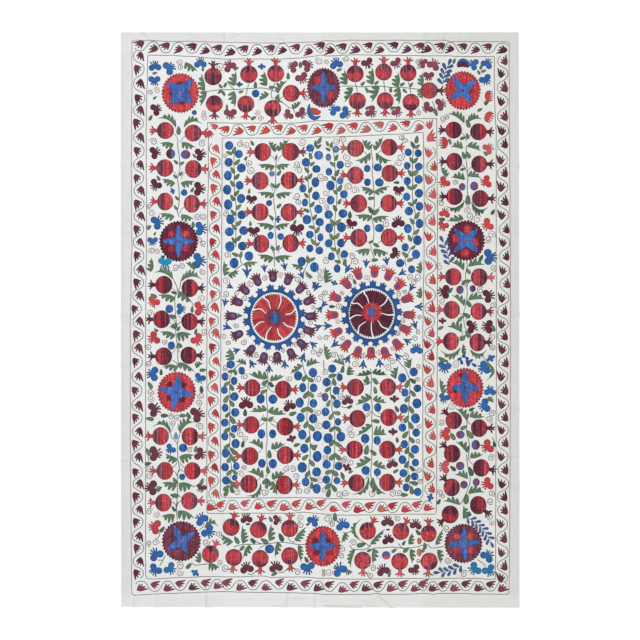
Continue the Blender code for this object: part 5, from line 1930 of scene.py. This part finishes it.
STEMS = (
    # x, y of the points that each runs through
    ((-480, 912), (-440, 915), (-400, 920), (-340, 921), (-250, 927), (-215, 925), (-165, 910)),
    ((-155, 875), (-125, 850), (-108, 845), (-100, 828)), ((-370, 955), (-358, 935), (-340, 921)),
    ((-296, 900), (-290, 922), (-285, 945)), ((-190, 882), (-195, 905), (-180, 948)),
    ((85, 935), (130, 935), (165, 932), (230, 935), (280, 930)),
    ((280, 930), (320, 930), (370, 925), (410, 920)), ((141, 948), (146, 932), (150, 912)),
    ((255, 955), (258, 932), (261, 912)), ((353, 952), (360, 928), (364, 906)),
    ((450, 875), (460, 845)),
    ((-568, 720), (-568, 690), (-562, 650), (-560, 615), (-562, 590), (-570, 565)),
    ((-570, 565), (-566, 540), (-562, 500), (-564, 460), (-570, 435), (-562, 410)),
    ((-172, 660), (-176, 620), (-177, 560), (-180, 520), (-185, 500), (-182, 450), (-176, 420)),
    ((-176, 420), (-180, 370), (-176, 330), (-174, 290)),
    ((-338, 692), (-344, 640), (-342, 590), (-343, 545), (-340, 500), (-335, 450), (-336, 400),
     (-336, 290)),
    ((-22, 690), (-42, 640), (-46, 600), (-48, 560), (-44, 520), (-42, 480), (-40, 450), (-30, 405)),
    ((-30, 405), (-22, 370), (-18, 330), (-16, 290)),
    ((50, 690), (57, 659), (60, 609), (65, 546), (68, 496), (66, 459), (60, 396), (59, 318), (62, 284)),
    ((206, 690), (206, 665), (212, 630), (209, 593), (213, 552), (216, 509), (218, 474), (216, 446)),
    ((216, 446), (207, 412), (215, 371), (216, 340), (212, 306)),
    ((374, 687), (371, 649), (370, 615), (371, 562), (370, 515), (373, 459), (381, 427), (373, 381)),
    ((373, 381), (376, 356), (365, 312)),
    ((586, 696), (584, 649), (587, 621), (589, 593), (592, 565), (589, 540), (590, 502)),
    ((-588, 166), (-572, 132), (-571, 110), (-579, 92), (-580, 60), (-577, 20), (-574, -11),
     (-577, -49)),
    ((-577, -49), (-571, -96), (-568, -132)), ((-557, 154), (-560, 130), (-571, 112)),
    ((-510, 67), (-507, 56), (-511, 44)), ((-600, 12), (-583, -2), (-575, -18)),
    ((-554, -6), (-572, -22)), ((-364, 176), (-345, 192), (-330, 206), (-305, 222), (-249, 229)),
    ((-316, 250), (-317, 232), (-310, 224)), ((-182, 290), (-183, 262), (-182, 246), (-182, 212)),
    ((-44, 232), (-56, 210), (-66, 190)),
    ((586, 242), (589, 211), (582, 179), (587, 139), (589, 101), (584, 60), (575, 29), (575, 4),
     (578, -24)),
    ((578, -24), (586, -49), (576, -83)), ((62, 290), (70, 262), (78, 240), (70, 222)),
    ((78, 262), (90, 245), (98, 232)), ((206, 290), (204, 280), (212, 262), (218, 240)),
    ((366, 290), (352, 262), (340, 240), (345, 215)), ((-568, -119), (-568, -147), (-566, -191)),
    ((-594, -469), (-580, -484), (-571, -495), (-569, -516), (-568, -559)),
    ((-560, -455), (-571, -495)), ((-590, -160), (-575, -172), (-569, -188)),
    ((-596, -456), (-594, -469)),
    ((-295, -178), (-317, -176), (-342, -197), (-358, -225), (-361, -275), (-360, -319), (-360, -375)),
    ((-360, -375), (-361, -431), (-360, -487), (-360, -550)),
    ((-212, -195), (-208, -234), (-207, -262), (-213, -290), (-212, -330), (-209, -362), (-212, -404)),
    ((-212, -404), (-213, -440), (-211, -480), (-215, -515), (-213, -560)),
    ((-71, -169), (-61, -209), (-46, -237), (-47, -275), (-44, -319), (-49, -350), (-52, -397),
     (-42, -441)),
    ((-42, -441), (-39, -491), (-39, -550)), ((-237, -275), (-220, -268), (-208, -262)),
    ((-180, -290), (-196, -284), (-207, -266)), ((-241, -425), (-222, -412)),
    ((-174, -428), (-196, -415)),
    ((98, -178), (90, -200), (65, -220), (46, -256), (42, -294), (49, -328), (48, -359), (60, -400)),
    ((60, -400), (59, -431), (60, -481), (59, -550)), ((15, -162), (16, -190), (21, -206)),
    ((202, -195), (205, -212), (206, -262), (204, -300), (209, -345), (207, -400), (210, -450),
     (207, -560)),
    ((176, -260), (192, -258), (206, -246)),
    ((183, -390), (198, -378), (205, -366), (222, -382), (242, -388)),
    ((312, -160), (330, -185), (340, -194), (356, -231), (360, -269), (356, -337), (354, -375)),
    ((354, -375), (354, -412), (357, -450), (356, -506), (356, -556)),
    ((84, -347), (100, -351), (114, -349)),
    ((586, -402), (589, -412), (586, -444), (593, -475), (598, -506), (592, -560)),
    ((689, -470), (697, -485), (697, -497)), ((654, -150), (668, -165), (680, -180)),
    ((-568, -559), (-562, -591), (-569, -616), (-569, -656), (-569, -687), (-571, -719),
     (-574, -750), (-570, -800)),
    ((-687, -540), (-684, -560), (-687, -575)), ((-587, -605), (-578, -610), (-570, -625)),
    ((-546, -606), (-558, -600), (-568, -612)), ((-592, -728), (-580, -735), (-574, -750)),
    ((-557, -724), (-566, -730), (-572, -745)), ((-507, -667), (-490, -662), (-472, -650)),
    ((-360, -550), (-353, -594), (-358, -631), (-364, -666), (-374, -690)),
    ((-213, -560), (-210, -585), (-208, -610), (-216, -632), (-214, -650)),
    ((-39, -550), (-44, -587), (-38, -625), (-33, -662)),
    ((59, -550), (55, -585), (50, -630), (45, -655), (37, -685)),
    ((207, -560), (205, -590), (203, -622), (211, -645)),
    ((356, -556), (352, -600), (356, -640), (365, -690)),
    ((586, -537), (589, -569), (595, -603), (601, -641), (593, -675), (582, -700), (570, -725),
     (558, -739)),
    ((-569, -731), (-572, -747), (-575, -765)), ((-660, -881), (-644, -866), (-640, -850)),
    ((-619, -944), (-632, -969), (-641, -984)), ((-647, -961), (-629, -961)),
    ((-513, -972), (-500, -981), (-466, -978), (-441, -975)),
    ((-465, -808), (-466, -825), (-482, -841)),
    ((-345, -908), (-310, -899), (-260, -897), (-200, -894), (-160, -889), (-120, -893),
     (-90, -898), (-57, -899)),
    ((-127, -872), (-119, -884), (-100, -890)), ((-272, -872), (-254, -887), (-235, -895)),
    ((-244, -915), (-225, -903), (-207, -895)), ((-165, -1012), (-150, -1010), (-135, -1002)),
    ((-288, -1015), (-272, -1018), (-257, -1006)),
    ((119, -900), (131, -916), (169, -919), (188, -915), (200, -903), (215, -888)),
    ((163, -883), (188, -897), (203, -909)),
    ((200, -925), (216, -913), (244, -912), (281, -909), (325, -912), (359, -912), (400, -906)),
    ((313, -894), (328, -912), (344, -919)), ((262, -1012), (275, -1016), (287, -1000)),
    ((91, -848), (100, -852), (116, -850), (126, -843)),
    ((402, -903), (431, -900), (446, -912), (477, -909), (496, -906)),
    ((631, -959), (646, -970), (662, -984)),
)

BIRDS_FEET = (
    # x, y, angle, size
    (-292, 186, 90, 34), (-222, 204, 95, 26), (-141, 210, 100, 26), (-71, 176, 110, 26),
    (-357, 132, 150, 24), (-380, 67, 80, 26), (-319, 17, 180, 20), (-367, -30, 160, 30),
    (-330, -121, 200, 26), (-24, 136, 60, 24), (-55, 17, 0, 20), (-30, -96, 320, 28),
    (-16, 129, 60, 32), (185, 223, 85, 28), (109, 201, 60, 32), (267, 232, 100, 28), (326, 186, 30, 28),
    (365, 126, 60, 28), (14, 60, 50, 26), (3, 46, 230, 26), (-4, -27, 200, 28), (34, -24, 180, 30),
    (57, -100, 40, 30), (381, -24, 110, 28), (346, -83, 330, 28), (393, 53, 0, 30),
    (-274, -172, 300, 30), (-203, -192, 270, 28), (-141, -175, 275, 28), (-67, -147, 250, 32),
    (113, -153, 240, 30), (173, -175, 265, 30), (238, -169, 280, 30), (309, -144, 310, 28),
)

CORNER_TULIPS = (
    # x, y, direction, vine side, dye, size
    (-422, 773, 150, "left", "rose", 0.8),
    (-440, 742, 230, "left", "red", 0.9),
    (437, 780, 60, "left", "rose", 0.9),
    (446, 730, 40, "right", "rose", 1.25),
)

SPRIGS = (
    # x and y of its foot, x and y of its tip, bow, leaf length, fullness of its leaves, dye
    (490, 941, 512, 1017, 3, 26, 0.25, "denim"),
    (518, 219, 494, 309, -5, 25, 0.24, "denim"),
    (581, -787, 682, -886, 13, 23, 0.23, "denim"),
    (566, -982, 481, -1010, 6, 23, 0.27, "denim"),
)

BLADES = (
    # points along it, width, dye
    (((-37, 846), (-24, 836), (-10, 830), (4, 832)), 27, "orange"),
    (((-42, 863), (-44, 840), (-37, 818), (-20, 806), (4, 816)), 20, "blue"),
    (((549, 1012), (572, 1023), (597, 1010)), 23, "wine"),
    (((547, 1019), (558, 1034), (573, 1039), (590, 1031), (605, 1011)), 13, "blue"),
)

FRAMES = (
    # dye of the line, dye of its lower side, then its points, from the top left corner and clockwise
    ("madder", "russet", (
        (-752, 1114), (-742, 1118), (-680, 1118), (-600, 1113), (-500, 1114), (-400, 1110),
        (-200, 1107), (-100, 1108), (0, 1112), (20, 1117), (60, 1114), (120, 1118), (300, 1118),
        (500, 1118), (520, 1113), (640, 1113), (700, 1112), (750, 1112), (757, 1106), (757, 900),
        (760, 500), (762, 200), (762, -200), (760, -700), (758, -1000), (756, -1091), (750, -1097),
        (609, -1097), (577, -1094), (474, -1094), (452, -1098), (421, -1094), (344, -1097),
        (244, -1098), (231, -1094), (200, -1098), (62, -1098), (12, -1098), (-20, -1094), (-110, -1091),
        (-254, -1090), (-360, -1087), (-404, -1087), (-497, -1090), (-622, -1095), (-685, -1098),
        (-740, -1101), (-750, -1096), (-753, -1060), (-755, -800), (-758, -500), (-758, 0), (-752, 300),
        (-754, 600), (-753, 800), (-751, 1000),
    )),
    ("russet", "russet", (
        (-688, 1058), (-600, 1058), (-500, 1052), (-385, 1043), (-150, 1043), (-80, 1047), (-20, 1055),
        (0, 1060), (30, 1055), (150, 1060), (300, 1057), (400, 1056), (520, 1056), (540, 1053),
        (698, 1053), (697, 950), (700, 850), (705, 740), (705, 300), (706, -200), (703, -700),
        (702, -1036), (662, -1037), (640, -1034), (484, -1033), (462, -1036), (312, -1034),
        (200, -1037), (94, -1037), (31, -1033), (-4, -1034), (-35, -1030), (-97, -1028), (-197, -1030),
        (-222, -1025), (-254, -1025), (-316, -1028), (-391, -1027), (-472, -1027), (-504, -1030),
        (-576, -1031), (-622, -1034), (-669, -1037), (-692, -1035), (-697, -1020), (-697, 0),
        (-693, 400), (-694, 600), (-695, 720), (-693, 900), (-690, 950),
    )),
    ("russet", "russet", (
        (-450, 790), (-400, 787), (-100, 787), (-50, 792), (0, 797), (60, 795), (150, 796), (200, 800),
        (300, 802), (400, 804), (467, 805), (468, 740), (470, 400), (470, 0), (468, -400), (466, -765),
        (460, -777), (400, -777), (250, -779), (140, -781), (78, -781), (21, -777), (-35, -772),
        (-66, -769), (-100, -773), (-446, -774), (-452, -770), (-452, 0), (-450, 300), (-446, 600),
        (-446, 740),
    )),
    ("russet", "russet", (
        (-391, 727), (-100, 727), (-50, 728), (0, 733), (20, 730), (100, 733), (150, 735), (200, 737),
        (250, 740), (300, 742), (330, 744), (400, 750), (413, 750), (417, 500), (416, 200), (412, 0),
        (411, -300), (412, -698), (402, -717), (300, -717), (140, -717), (47, -715), (0, -712),
        (-60, -711), (-380, -712), (-394, -704), (-398, -690), (-396, 0), (-392, 400),
    )),
)

ROSETTES = (
    # x, y, rx, ry, dye, star dye, heart dye, radius of the star's notches, tips of the star's arms,
    # then the spots between the arms: x, y, half width, half height, dye
    (-558, 907, 73, 78, "red", "cornflower", "rose", 33, (
        (-605, 945), (-515, 958), (-512, 870), (-595, 865),
    ), ((-562, 938, 18, 15, "wine"), (-532, 905, 15, 15, "wine"), (-556, 875, 16, 14, "wine"),
        (-588, 906, 13, 15, "wine"))),
    (15, 928, 65, 78, "dusk", "cornflower", "mulberry", 21, (
        (15, 986), (62, 928), (15, 868), (-32, 928),
    ), ((-10, 958, 14, 16, "red"), (40, 898, 15, 16, "red"), (15, 990, 18, 12, "wine"))),
    (571, 917, 70, 76, "red", "cornflower", "wine", 24, (
        (535, 970), (618, 955), (602, 873), (523, 885),
    ), ((577, 950, 13, 10, "crimson"), (603, 915, 10, 12, "crimson"))),
    (-565, 314, 76, 80, "garnet", "cornflower", "mulberry", 22, (
        (-565, 374), (-505, 314), (-565, 254), (-625, 314),
    ), ((-594, 344, 12, 12, "red"), (-536, 286, 12, 12, "red"), (-536, 345, 13, 14, "orange"),
        (-594, 285, 11, 11, "crimson"))),
    (-573, -289, 75, 80, "red", "cornflower", "plum", 27, (
        (-565, -225), (-510, -298), (-590, -355), (-636, -275),
    ), ((-545, -262, 12, 12, "wine"), (-550, -318, 12, 12, "wine"), (-603, -312, 12, 12, "wine"),
        (-600, -258, 12, 12, "wine"))),
    (584, 317, 74, 79, "garnet", "cornflower", "red", 24, (
        (628, 360), (628, 274), (540, 274), (540, 360),
    ), ((589, 361, 16, 15, "red"), (619, 309, 15, 16, "red"), (546, 327, 15, 16, "red"),
        (580, 268, 15, 14, "red"))),
    (580, -272, 73, 78, "red", "cornflower", "wine", 26, (
        (581, -209), (636, -270), (582, -328), (529, -269),
    ), ((566, -222, 11, 10, "wine"), (541, -284, 10, 10, "wine"))),
    (-554, -885, 76, 79, "dusk", "cornflower", "rose", 24, (
        (-580, -828), (-505, -853), (-533, -928), (-605, -916),
    ), ((-541, -850, 17, 15, "plum"), (-592, -870, 13, 18, "plum"), (-574, -928, 22, 18, "mulberry"),
        (-514, -893, 14, 20, "plum"))),
    (12, -905, 69, 80, "red", "cornflower", "violet", 23, (
        (10, -848), (60, -905), (8, -961), (-38, -905),
    ), ((-17, -883, 14, 13, "wine"), (33, -884, 13, 12, "wine"), (-12, -930, 14, 13, "wine"),
        (34, -932, 12, 12, "crimson"))),
    (574, -894, 74, 77, "dusk", "cornflower", "salmon", 19, (
        (577, -834), (637, -887), (581, -956), (515, -900),
    ), ((549, -866, 12, 11, "rose"), (601, -864, 12, 13, "orange"), (549, -922, 11, 12, "red"),
        (602, -920, 12, 12, "red"), (562, -846, 8, 14, "wine"))),
)

MEDALLION_LEFT = {
    "x": -183,
    "y": 10,
    "rx": 85,
    "ry": 90,
    "petal_dye": "red",
    "gaps": (
        ((-158, 101), (-156, 75), (-164, 51)),
        ((-224, 87), (-207, 75), (-199, 48)),
        ((-264, 40), (-238, 44), (-216, 26)),
        ((-261, -27), (-240, -10), (-216, -7)),
        ((-216, -74), (-211, -50), (-194, -28)),
        ((-149, -74), (-163, -58), (-171, -33)),
        ((-108, -30), (-130, -25), (-147, -11)),
        ((-102, 39), (-115, 26), (-136, 22)),
    ),
    "ring_x": -182,
    "ring_y": 9,
    "ring": (115, 121),
    "notches": 16,
    "first_notch": 87,
    "heart": (-180, 8),
    "heart_radius": 42,
    "heart_dye": "mulberry",
    "core_radius": 20,
    "core_dye": "blue",
    "tulips": (
        (92, 167), (70, 163), (48, 158), (26, 154), (2, 147), (-21, 148), (-44, 153), (-65, 161),
        (-86, 161), (-105, 168), (-126, 162), (-155, 163), (178, 172), (157, 162), (137, 164), (115, 165),
    ),
    "tulip_dye": "plum",
}

MEDALLION_RIGHT = {
    "x": 206,
    "y": 25,
    "rx": 85,
    "ry": 90,
    "petal_dye": "wine",
    "gaps": (
        ((178, 104), (188, 92), (195, 70)),
        ((131, 65), (153, 65), (171, 48)),
        ((124, 8), (143, 18), (170, 18)),
        ((154, -42), (159, -24), (190, -3)),
        ((213, -71), (206, -39), (206, -11)),
        ((271, -36), (248, -27), (234, -5)),
        ((296, 20), (271, 20), (248, 26)),
        ((270, 84), (259, 67), (237, 51)),
    ),
    "ring_x": 207,
    "ring_y": 25,
    "ring": (112, 121),
    "notches": 17,
    "first_notch": 77,
    "heart": (207, 31),
    "heart_radius": 43,
    "heart_dye": "red",
    "core_radius": 20,
    "core_dye": "violet",
    "tulips": (
        (86, 168), (66, 169), (46, 159), (23, 153), (-2, 149), (-25, 147), (-50, 160), (-71, 166),
        (-91, 157), (-110, 164), (-129, 162), (-152, 158), (182, 157), (156, 158), (130, 157), (109, 168),
    ),
    "tulip_dye": "red",
}


def embroider():
    """Sew every chart, from the frame lines to the hems."""
    for dye, lower_dye, points in FRAMES:
        frame_line(points, dye, lower_dye)
    for places, direction, first_side in (
        (OUTER_BAND_TOP, 180, "left"),
        (OUTER_BAND_LEFT, 270, "right"),
        (OUTER_BAND_RIGHT_UPPER, 90, "left"),
        (OUTER_BAND_RIGHT_LOWER, 90, "left"),
        (OUTER_BAND_BOTTOM, 0, "left"),
        (INNER_BAND_TOP, 180, "left"),
        (INNER_BAND_LEFT, 270, "right"),
        (INNER_BAND_RIGHT, 90, "right"),
        (INNER_BAND_BOTTOM, 0, "left"),
    ):
        tulip_band(places, direction, first_side)
    for row in CORNER_TULIPS:
        tulip(*row)
    for stem in STEMS:
        line(stem, STEM_WIDTH, "stem")
    for place in CURLS:
        curl(*place)
    for motif, rows in (
        (pomegranate, POMEGRANATES),
        (flower, FLOWERS),
        (fringed_flower, FRINGED_FLOWERS),
        (trefoil, TREFOILS),
        (leaf, LEAVES),
        (bud, BUDS),
        (berry, BERRIES),
        (two_tone_berry, TWO_TONE_BERRIES),
        (birds_foot, BIRDS_FEET),
        (sprig, SPRIGS),
        (blade, BLADES),
        (rosette, ROSETTES),
    ):
        for row in rows:
            motif(*row)
    medallion(**MEDALLION_LEFT)
    medallion(**MEDALLION_RIGHT)
    sew_seams()
    sew_hems()


# ---------------------------------------------------------------- building the pieces
def link_object(name, mesh):
    piece = bpy.data.objects.new(name, mesh)
    bpy.context.scene.collection.objects.link(piece)
    return piece


CHART_MARGIN = 0.004


def add_flat_uv(mesh):
    """A chart of the piece as it lies, for the finished texture."""
    count = len(mesh.vertices)
    places = np.empty(count * 3)
    mesh.vertices.foreach_get("co", places)
    places = places.reshape(-1, 3)[:, :2]
    low, high = places.min(0), places.max(0)
    share = (places - low) / np.maximum(high - low, 1e-6)
    flat = CHART_MARGIN + (1 - 2 * CHART_MARGIN) * share
    loops = np.empty(len(mesh.loops), dtype=np.int32)
    mesh.loops.foreach_get("vertex_index", loops)
    layer = mesh.uv_layers.new(name="OFBake")
    layer.data.foreach_set("uv", flat[loops].ravel())


def make_stitches(work, material):
    """Turn one gathering of stitches into a piece on the cloth."""
    points = np.vstack(work.points) * MM
    mesh = bpy.data.meshes.new(work.name)
    mesh.from_pydata(points.tolist(), [], work.faces)
    loops = np.empty(len(mesh.loops), dtype=np.int32)
    mesh.loops.foreach_get("vertex_index", loops)
    stitch = mesh.uv_layers.new(name="stitch")
    stitch.data.foreach_set("uv", np.vstack(work.stitch)[loops].ravel())
    dye = mesh.color_attributes.new(name="dye", type="FLOAT_COLOR", domain="POINT")
    shades = np.vstack(work.dyes)
    dye.data.foreach_set("color", np.column_stack((shades, np.ones(len(shades)))).ravel())
    add_flat_uv(mesh)
    mesh.materials.append(material)
    mesh.shade_smooth()
    piece = link_object(work.name, mesh)
    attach(piece, "root")
    return piece


def fine_places(first, last):
    """Close places that follow a wrinkle's run from first to last."""
    low = math.floor((min(first, last) - FINE_PITCH) / FINE_PITCH)
    high = math.ceil((max(first, last) + FINE_PITCH) / FINE_PITCH)
    return {step * FINE_PITCH for step in range(low, high + 1)}


def fine_columns():
    """Columns along the steep wrinkles."""
    places = set()
    for x_start, _, x_end, _, _, _ in PAINTED_WRINKLE_SHADES:
        if abs(x_end - x_start) < STEEP_RUN:
            places |= fine_places(x_start, x_end)
    return places


def fine_rows():
    """Rows along every wrinkle."""
    places = set()
    for _, y_start, _, y_end, _, _ in PAINTED_WRINKLE_SHADES:
        places |= fine_places(y_start, y_end)
    return places


def grid_places(low, high, pitch, low_hem, high_hem, finer):
    """Even places from low to high, with the hems' edges and finer places among them."""
    places = [low]
    if low_hem:
        places += [low + low_hem - HEM_STEP, low + low_hem]
    inner_end = high - high_hem if high_hem else high
    count = int((inner_end - places[-1]) / pitch)
    places += list(np.linspace(places[-1], inner_end, count + 1)[1:])
    if high_hem:
        places += [high - high_hem + HEM_STEP, high]
    return sorted(places + [place for place in finer if low + 1 < place < high - 1])


def in_hem(x, y):
    """Which places lie on the thicker, turned part of the cloth."""
    left = x < long_line_x(LONG_LINES[0], y) + HEMS["left"] - HEM_STEP / 2
    right = x > long_line_x(LONG_LINES[-1], y) - HEMS["right"] + HEM_STEP / 2
    bottom = y < end_y(BOTTOM_END, x) + HEMS["bottom"] - HEM_STEP / 2
    top = y > end_y(TOP_END, x) - HEMS["top"] + HEM_STEP / 2
    return left | right | bottom | top


SHARP_ANGLE = math.radians(50)
FRAME_HALF_WIDTH = 752.0
FRAME_HALF_LENGTH = 1104.0
FRAME_WHITENESS = 1.11
END_WHITENESS = 1.07
WHITENESS_BLUR = 20.0


def painted_wrinkle_shade(x, y):
    """How much light the painted shade of the margins' wrinkles leaves in the ground's colour."""
    light = np.ones(x.shape)
    for x_start, y_start, x_end, y_end, half_width, depth in PAINTED_WRINKLE_SHADES:
        distance = distance_from_run(x, y, x_start, y_start, x_end, y_end)
        light -= depth * np.clip(1 - distance / half_width, 0, 1)
    return light


def whiteness_and_wrinkle_shade(x, y):
    """How white the ground is: whiter within the frame and along the lower end, and darker where the
    shade of the margins' wrinkles is painted.
    """
    depth = np.minimum(FRAME_HALF_WIDTH - np.abs(x), FRAME_HALF_LENGTH - np.abs(y))
    within = 1 + (FRAME_WHITENESS - 1) * np.clip(depth / WHITENESS_BLUR + 0.5, 0, 1)
    below = (-FRAME_HALF_LENGTH - y) / WHITENESS_BLUR
    end = 1 + (END_WHITENESS - 1) * np.clip(below + 0.5, 0, 1)
    return within * end * painted_wrinkle_shade(x, y)


def make_panel(name, left_line, right_line, material):
    """One panel of ground cloth, over its creases, thicker along its hems."""
    left_hem = HEMS["left"] if name == PANELS[0] else 0.0
    right_hem = HEMS["right"] if name == PANELS[-1] else 0.0
    columns = grid_places(left_line[2], right_line[2], GRID_PITCH, left_hem, right_hem, fine_columns())
    rows = grid_places(
        -HALF_LENGTH,
        HALF_LENGTH,
        GRID_PITCH,
        HEMS["bottom"],
        HEMS["top"],
        fine_rows(),
    )
    column, row = np.meshgrid(columns, rows)
    across = (column - left_line[2]) / (right_line[2] - left_line[2])
    x_left = long_line_x(left_line, row)
    x = x_left + (long_line_x(right_line, row) - x_left) * across
    along = (row + HALF_LENGTH) / (2 * HALF_LENGTH)
    y = end_y(BOTTOM_END, x) + (end_y(TOP_END, x) - end_y(BOTTOM_END, x)) * along
    low = crease_height(x, y)
    high = low + np.where(in_hem(x, y), HEM_THICKNESS, GROUND_THICKNESS)
    count = x.size
    places = [np.stack((x, y, height), axis=-1).reshape(count, 3) for height in (high, low)]
    wide = len(columns)
    corner = (np.arange(len(rows) - 1)[:, None] * wide + np.arange(wide - 1)).ravel()
    top = np.column_stack((corner, corner + 1, corner + 1 + wide, corner + wide))
    edge = list(range(wide))
    edge += [wide * k + wide - 1 for k in range(1, len(rows))]
    edge += [count - 1 - k for k in range(1, wide)]
    edge += [count - wide * k for k in range(2, len(rows))]
    rim = [(a + count, b + count, b, a) for a, b in zip(edge, edge[1:] + edge[:1])]
    faces = top.tolist() + (top[:, ::-1] + count).tolist() + rim
    mesh = bpy.data.meshes.new("cloth_" + name)
    mesh.from_pydata((np.vstack(places) * MM).tolist(), [], faces)
    add_flat_uv(mesh)
    # Each point's colour: the ground's whiteness times the painted shade of the wrinkles.
    whiteness_and_shade = mesh.color_attributes.new(name="whiteness_and_shade", type="FLOAT_COLOR", domain="POINT")
    shades = np.repeat(whiteness_and_wrinkle_shade(np.tile(x.ravel(), 2), np.tile(y.ravel(), 2))[:, None], 4, axis=1)
    whiteness_and_shade.data.foreach_set("color", shades.ravel())
    mesh.materials.append(material)
    mesh.shade_smooth()
    mesh.set_sharp_from_angle(angle=SHARP_ANGLE)
    piece = link_object("cloth_" + name, mesh)
    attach(piece, "root")
    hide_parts(name)
    return piece


PANEL_SHADES = {
    "panel_left": (0.652, 0.659, 0.650),
    "panel_centre_left": (0.675, 0.682, 0.674),
    "panel_centre_right": (0.668, 0.674, 0.656),
    "panel_right": (0.634, 0.638, 0.608),
}


def make_cloth():
    pieces = []
    for name, left_line, right_line in zip(PANELS, LONG_LINES, LONG_LINES[1:]):
        material = ground_material("ground_" + name, PANEL_SHADES[name])
        pieces.append(make_panel(name, left_line, right_line, material))
    return pieces


# ---------------------------------------------------------------- the studio
CAMERA_PLACE = (0.0004, -0.0006, 6.044)
LENS = 85.0
SENSOR_WIDTH = 36.0
FLOOR_SIZE = 14.0
FLOOR_DEPTH = 0.0004
FLOOR_COLOUR = (0.97, 0.97, 0.97)
WORLD_LIGHT = 0.66
# Each lamp: place, size, power.
KEY_LAMP = ((-4.6, 4.2, 6.0), 2.4, 330.0)
FILL_LAMP = ((4.6, -4.4, 6.5), 4.0, 170.0)


def add_camera():
    camera = bpy.data.objects.new("camera", bpy.data.cameras.new("camera"))
    camera.data.lens = LENS
    camera.data.sensor_width = SENSOR_WIDTH
    camera.location = CAMERA_PLACE
    bpy.context.scene.collection.objects.link(camera)
    bpy.context.scene.camera = camera


def add_light(name, place, size, power):
    light = bpy.data.lights.new(name, "AREA")
    light.size = size
    light.energy = power
    lamp = bpy.data.objects.new(name, light)
    lamp.location = place
    direction = -lamp.location
    lamp.rotation_euler = direction.to_track_quat("-Z", "Y").to_euler()
    bpy.context.scene.collection.objects.link(lamp)


def add_floor():
    bpy.ops.mesh.primitive_plane_add(size=FLOOR_SIZE, location=(0, 0, -FLOOR_DEPTH))
    floor = bpy.context.object
    floor.name = "floor"
    nodes = Nodes("floor_paper")
    place = nodes.add("ShaderNodeTexCoord").outputs["Object"]
    shade = remap(nodes, noise(nodes, place, 4.0), 0.995, 1.0)
    nodes.link(scale_colour(nodes, FLOOR_COLOUR, shade), nodes.shader.inputs["Base Color"])
    nodes.shader.inputs["Roughness"].default_value = 0.9
    nodes.shader.inputs["Specular IOR Level"].default_value = 0.1
    floor.data.materials.append(nodes.material)


def set_light():
    world = bpy.data.worlds.new("studio")
    world.use_nodes = True
    background = world.node_tree.nodes["Background"]
    background.inputs["Color"].default_value = (1.0, 1.0, 1.0, 1.0)
    background.inputs["Strength"].default_value = WORLD_LIGHT
    bpy.context.scene.world = world
    add_light("key", *KEY_LAMP)
    add_light("fill", *FILL_LAMP)
    bpy.context.scene.view_settings.view_transform = "Standard"


def main():
    add_camera()
    add_floor()
    set_light()
    cloth = make_cloth()
    embroider()
    threads = thread_material("silk_thread")
    on_panel = [[] for _ in PANELS]
    for work in WORKS.values():
        on_panel[work.column].append(make_stitches(work, threads))


main()
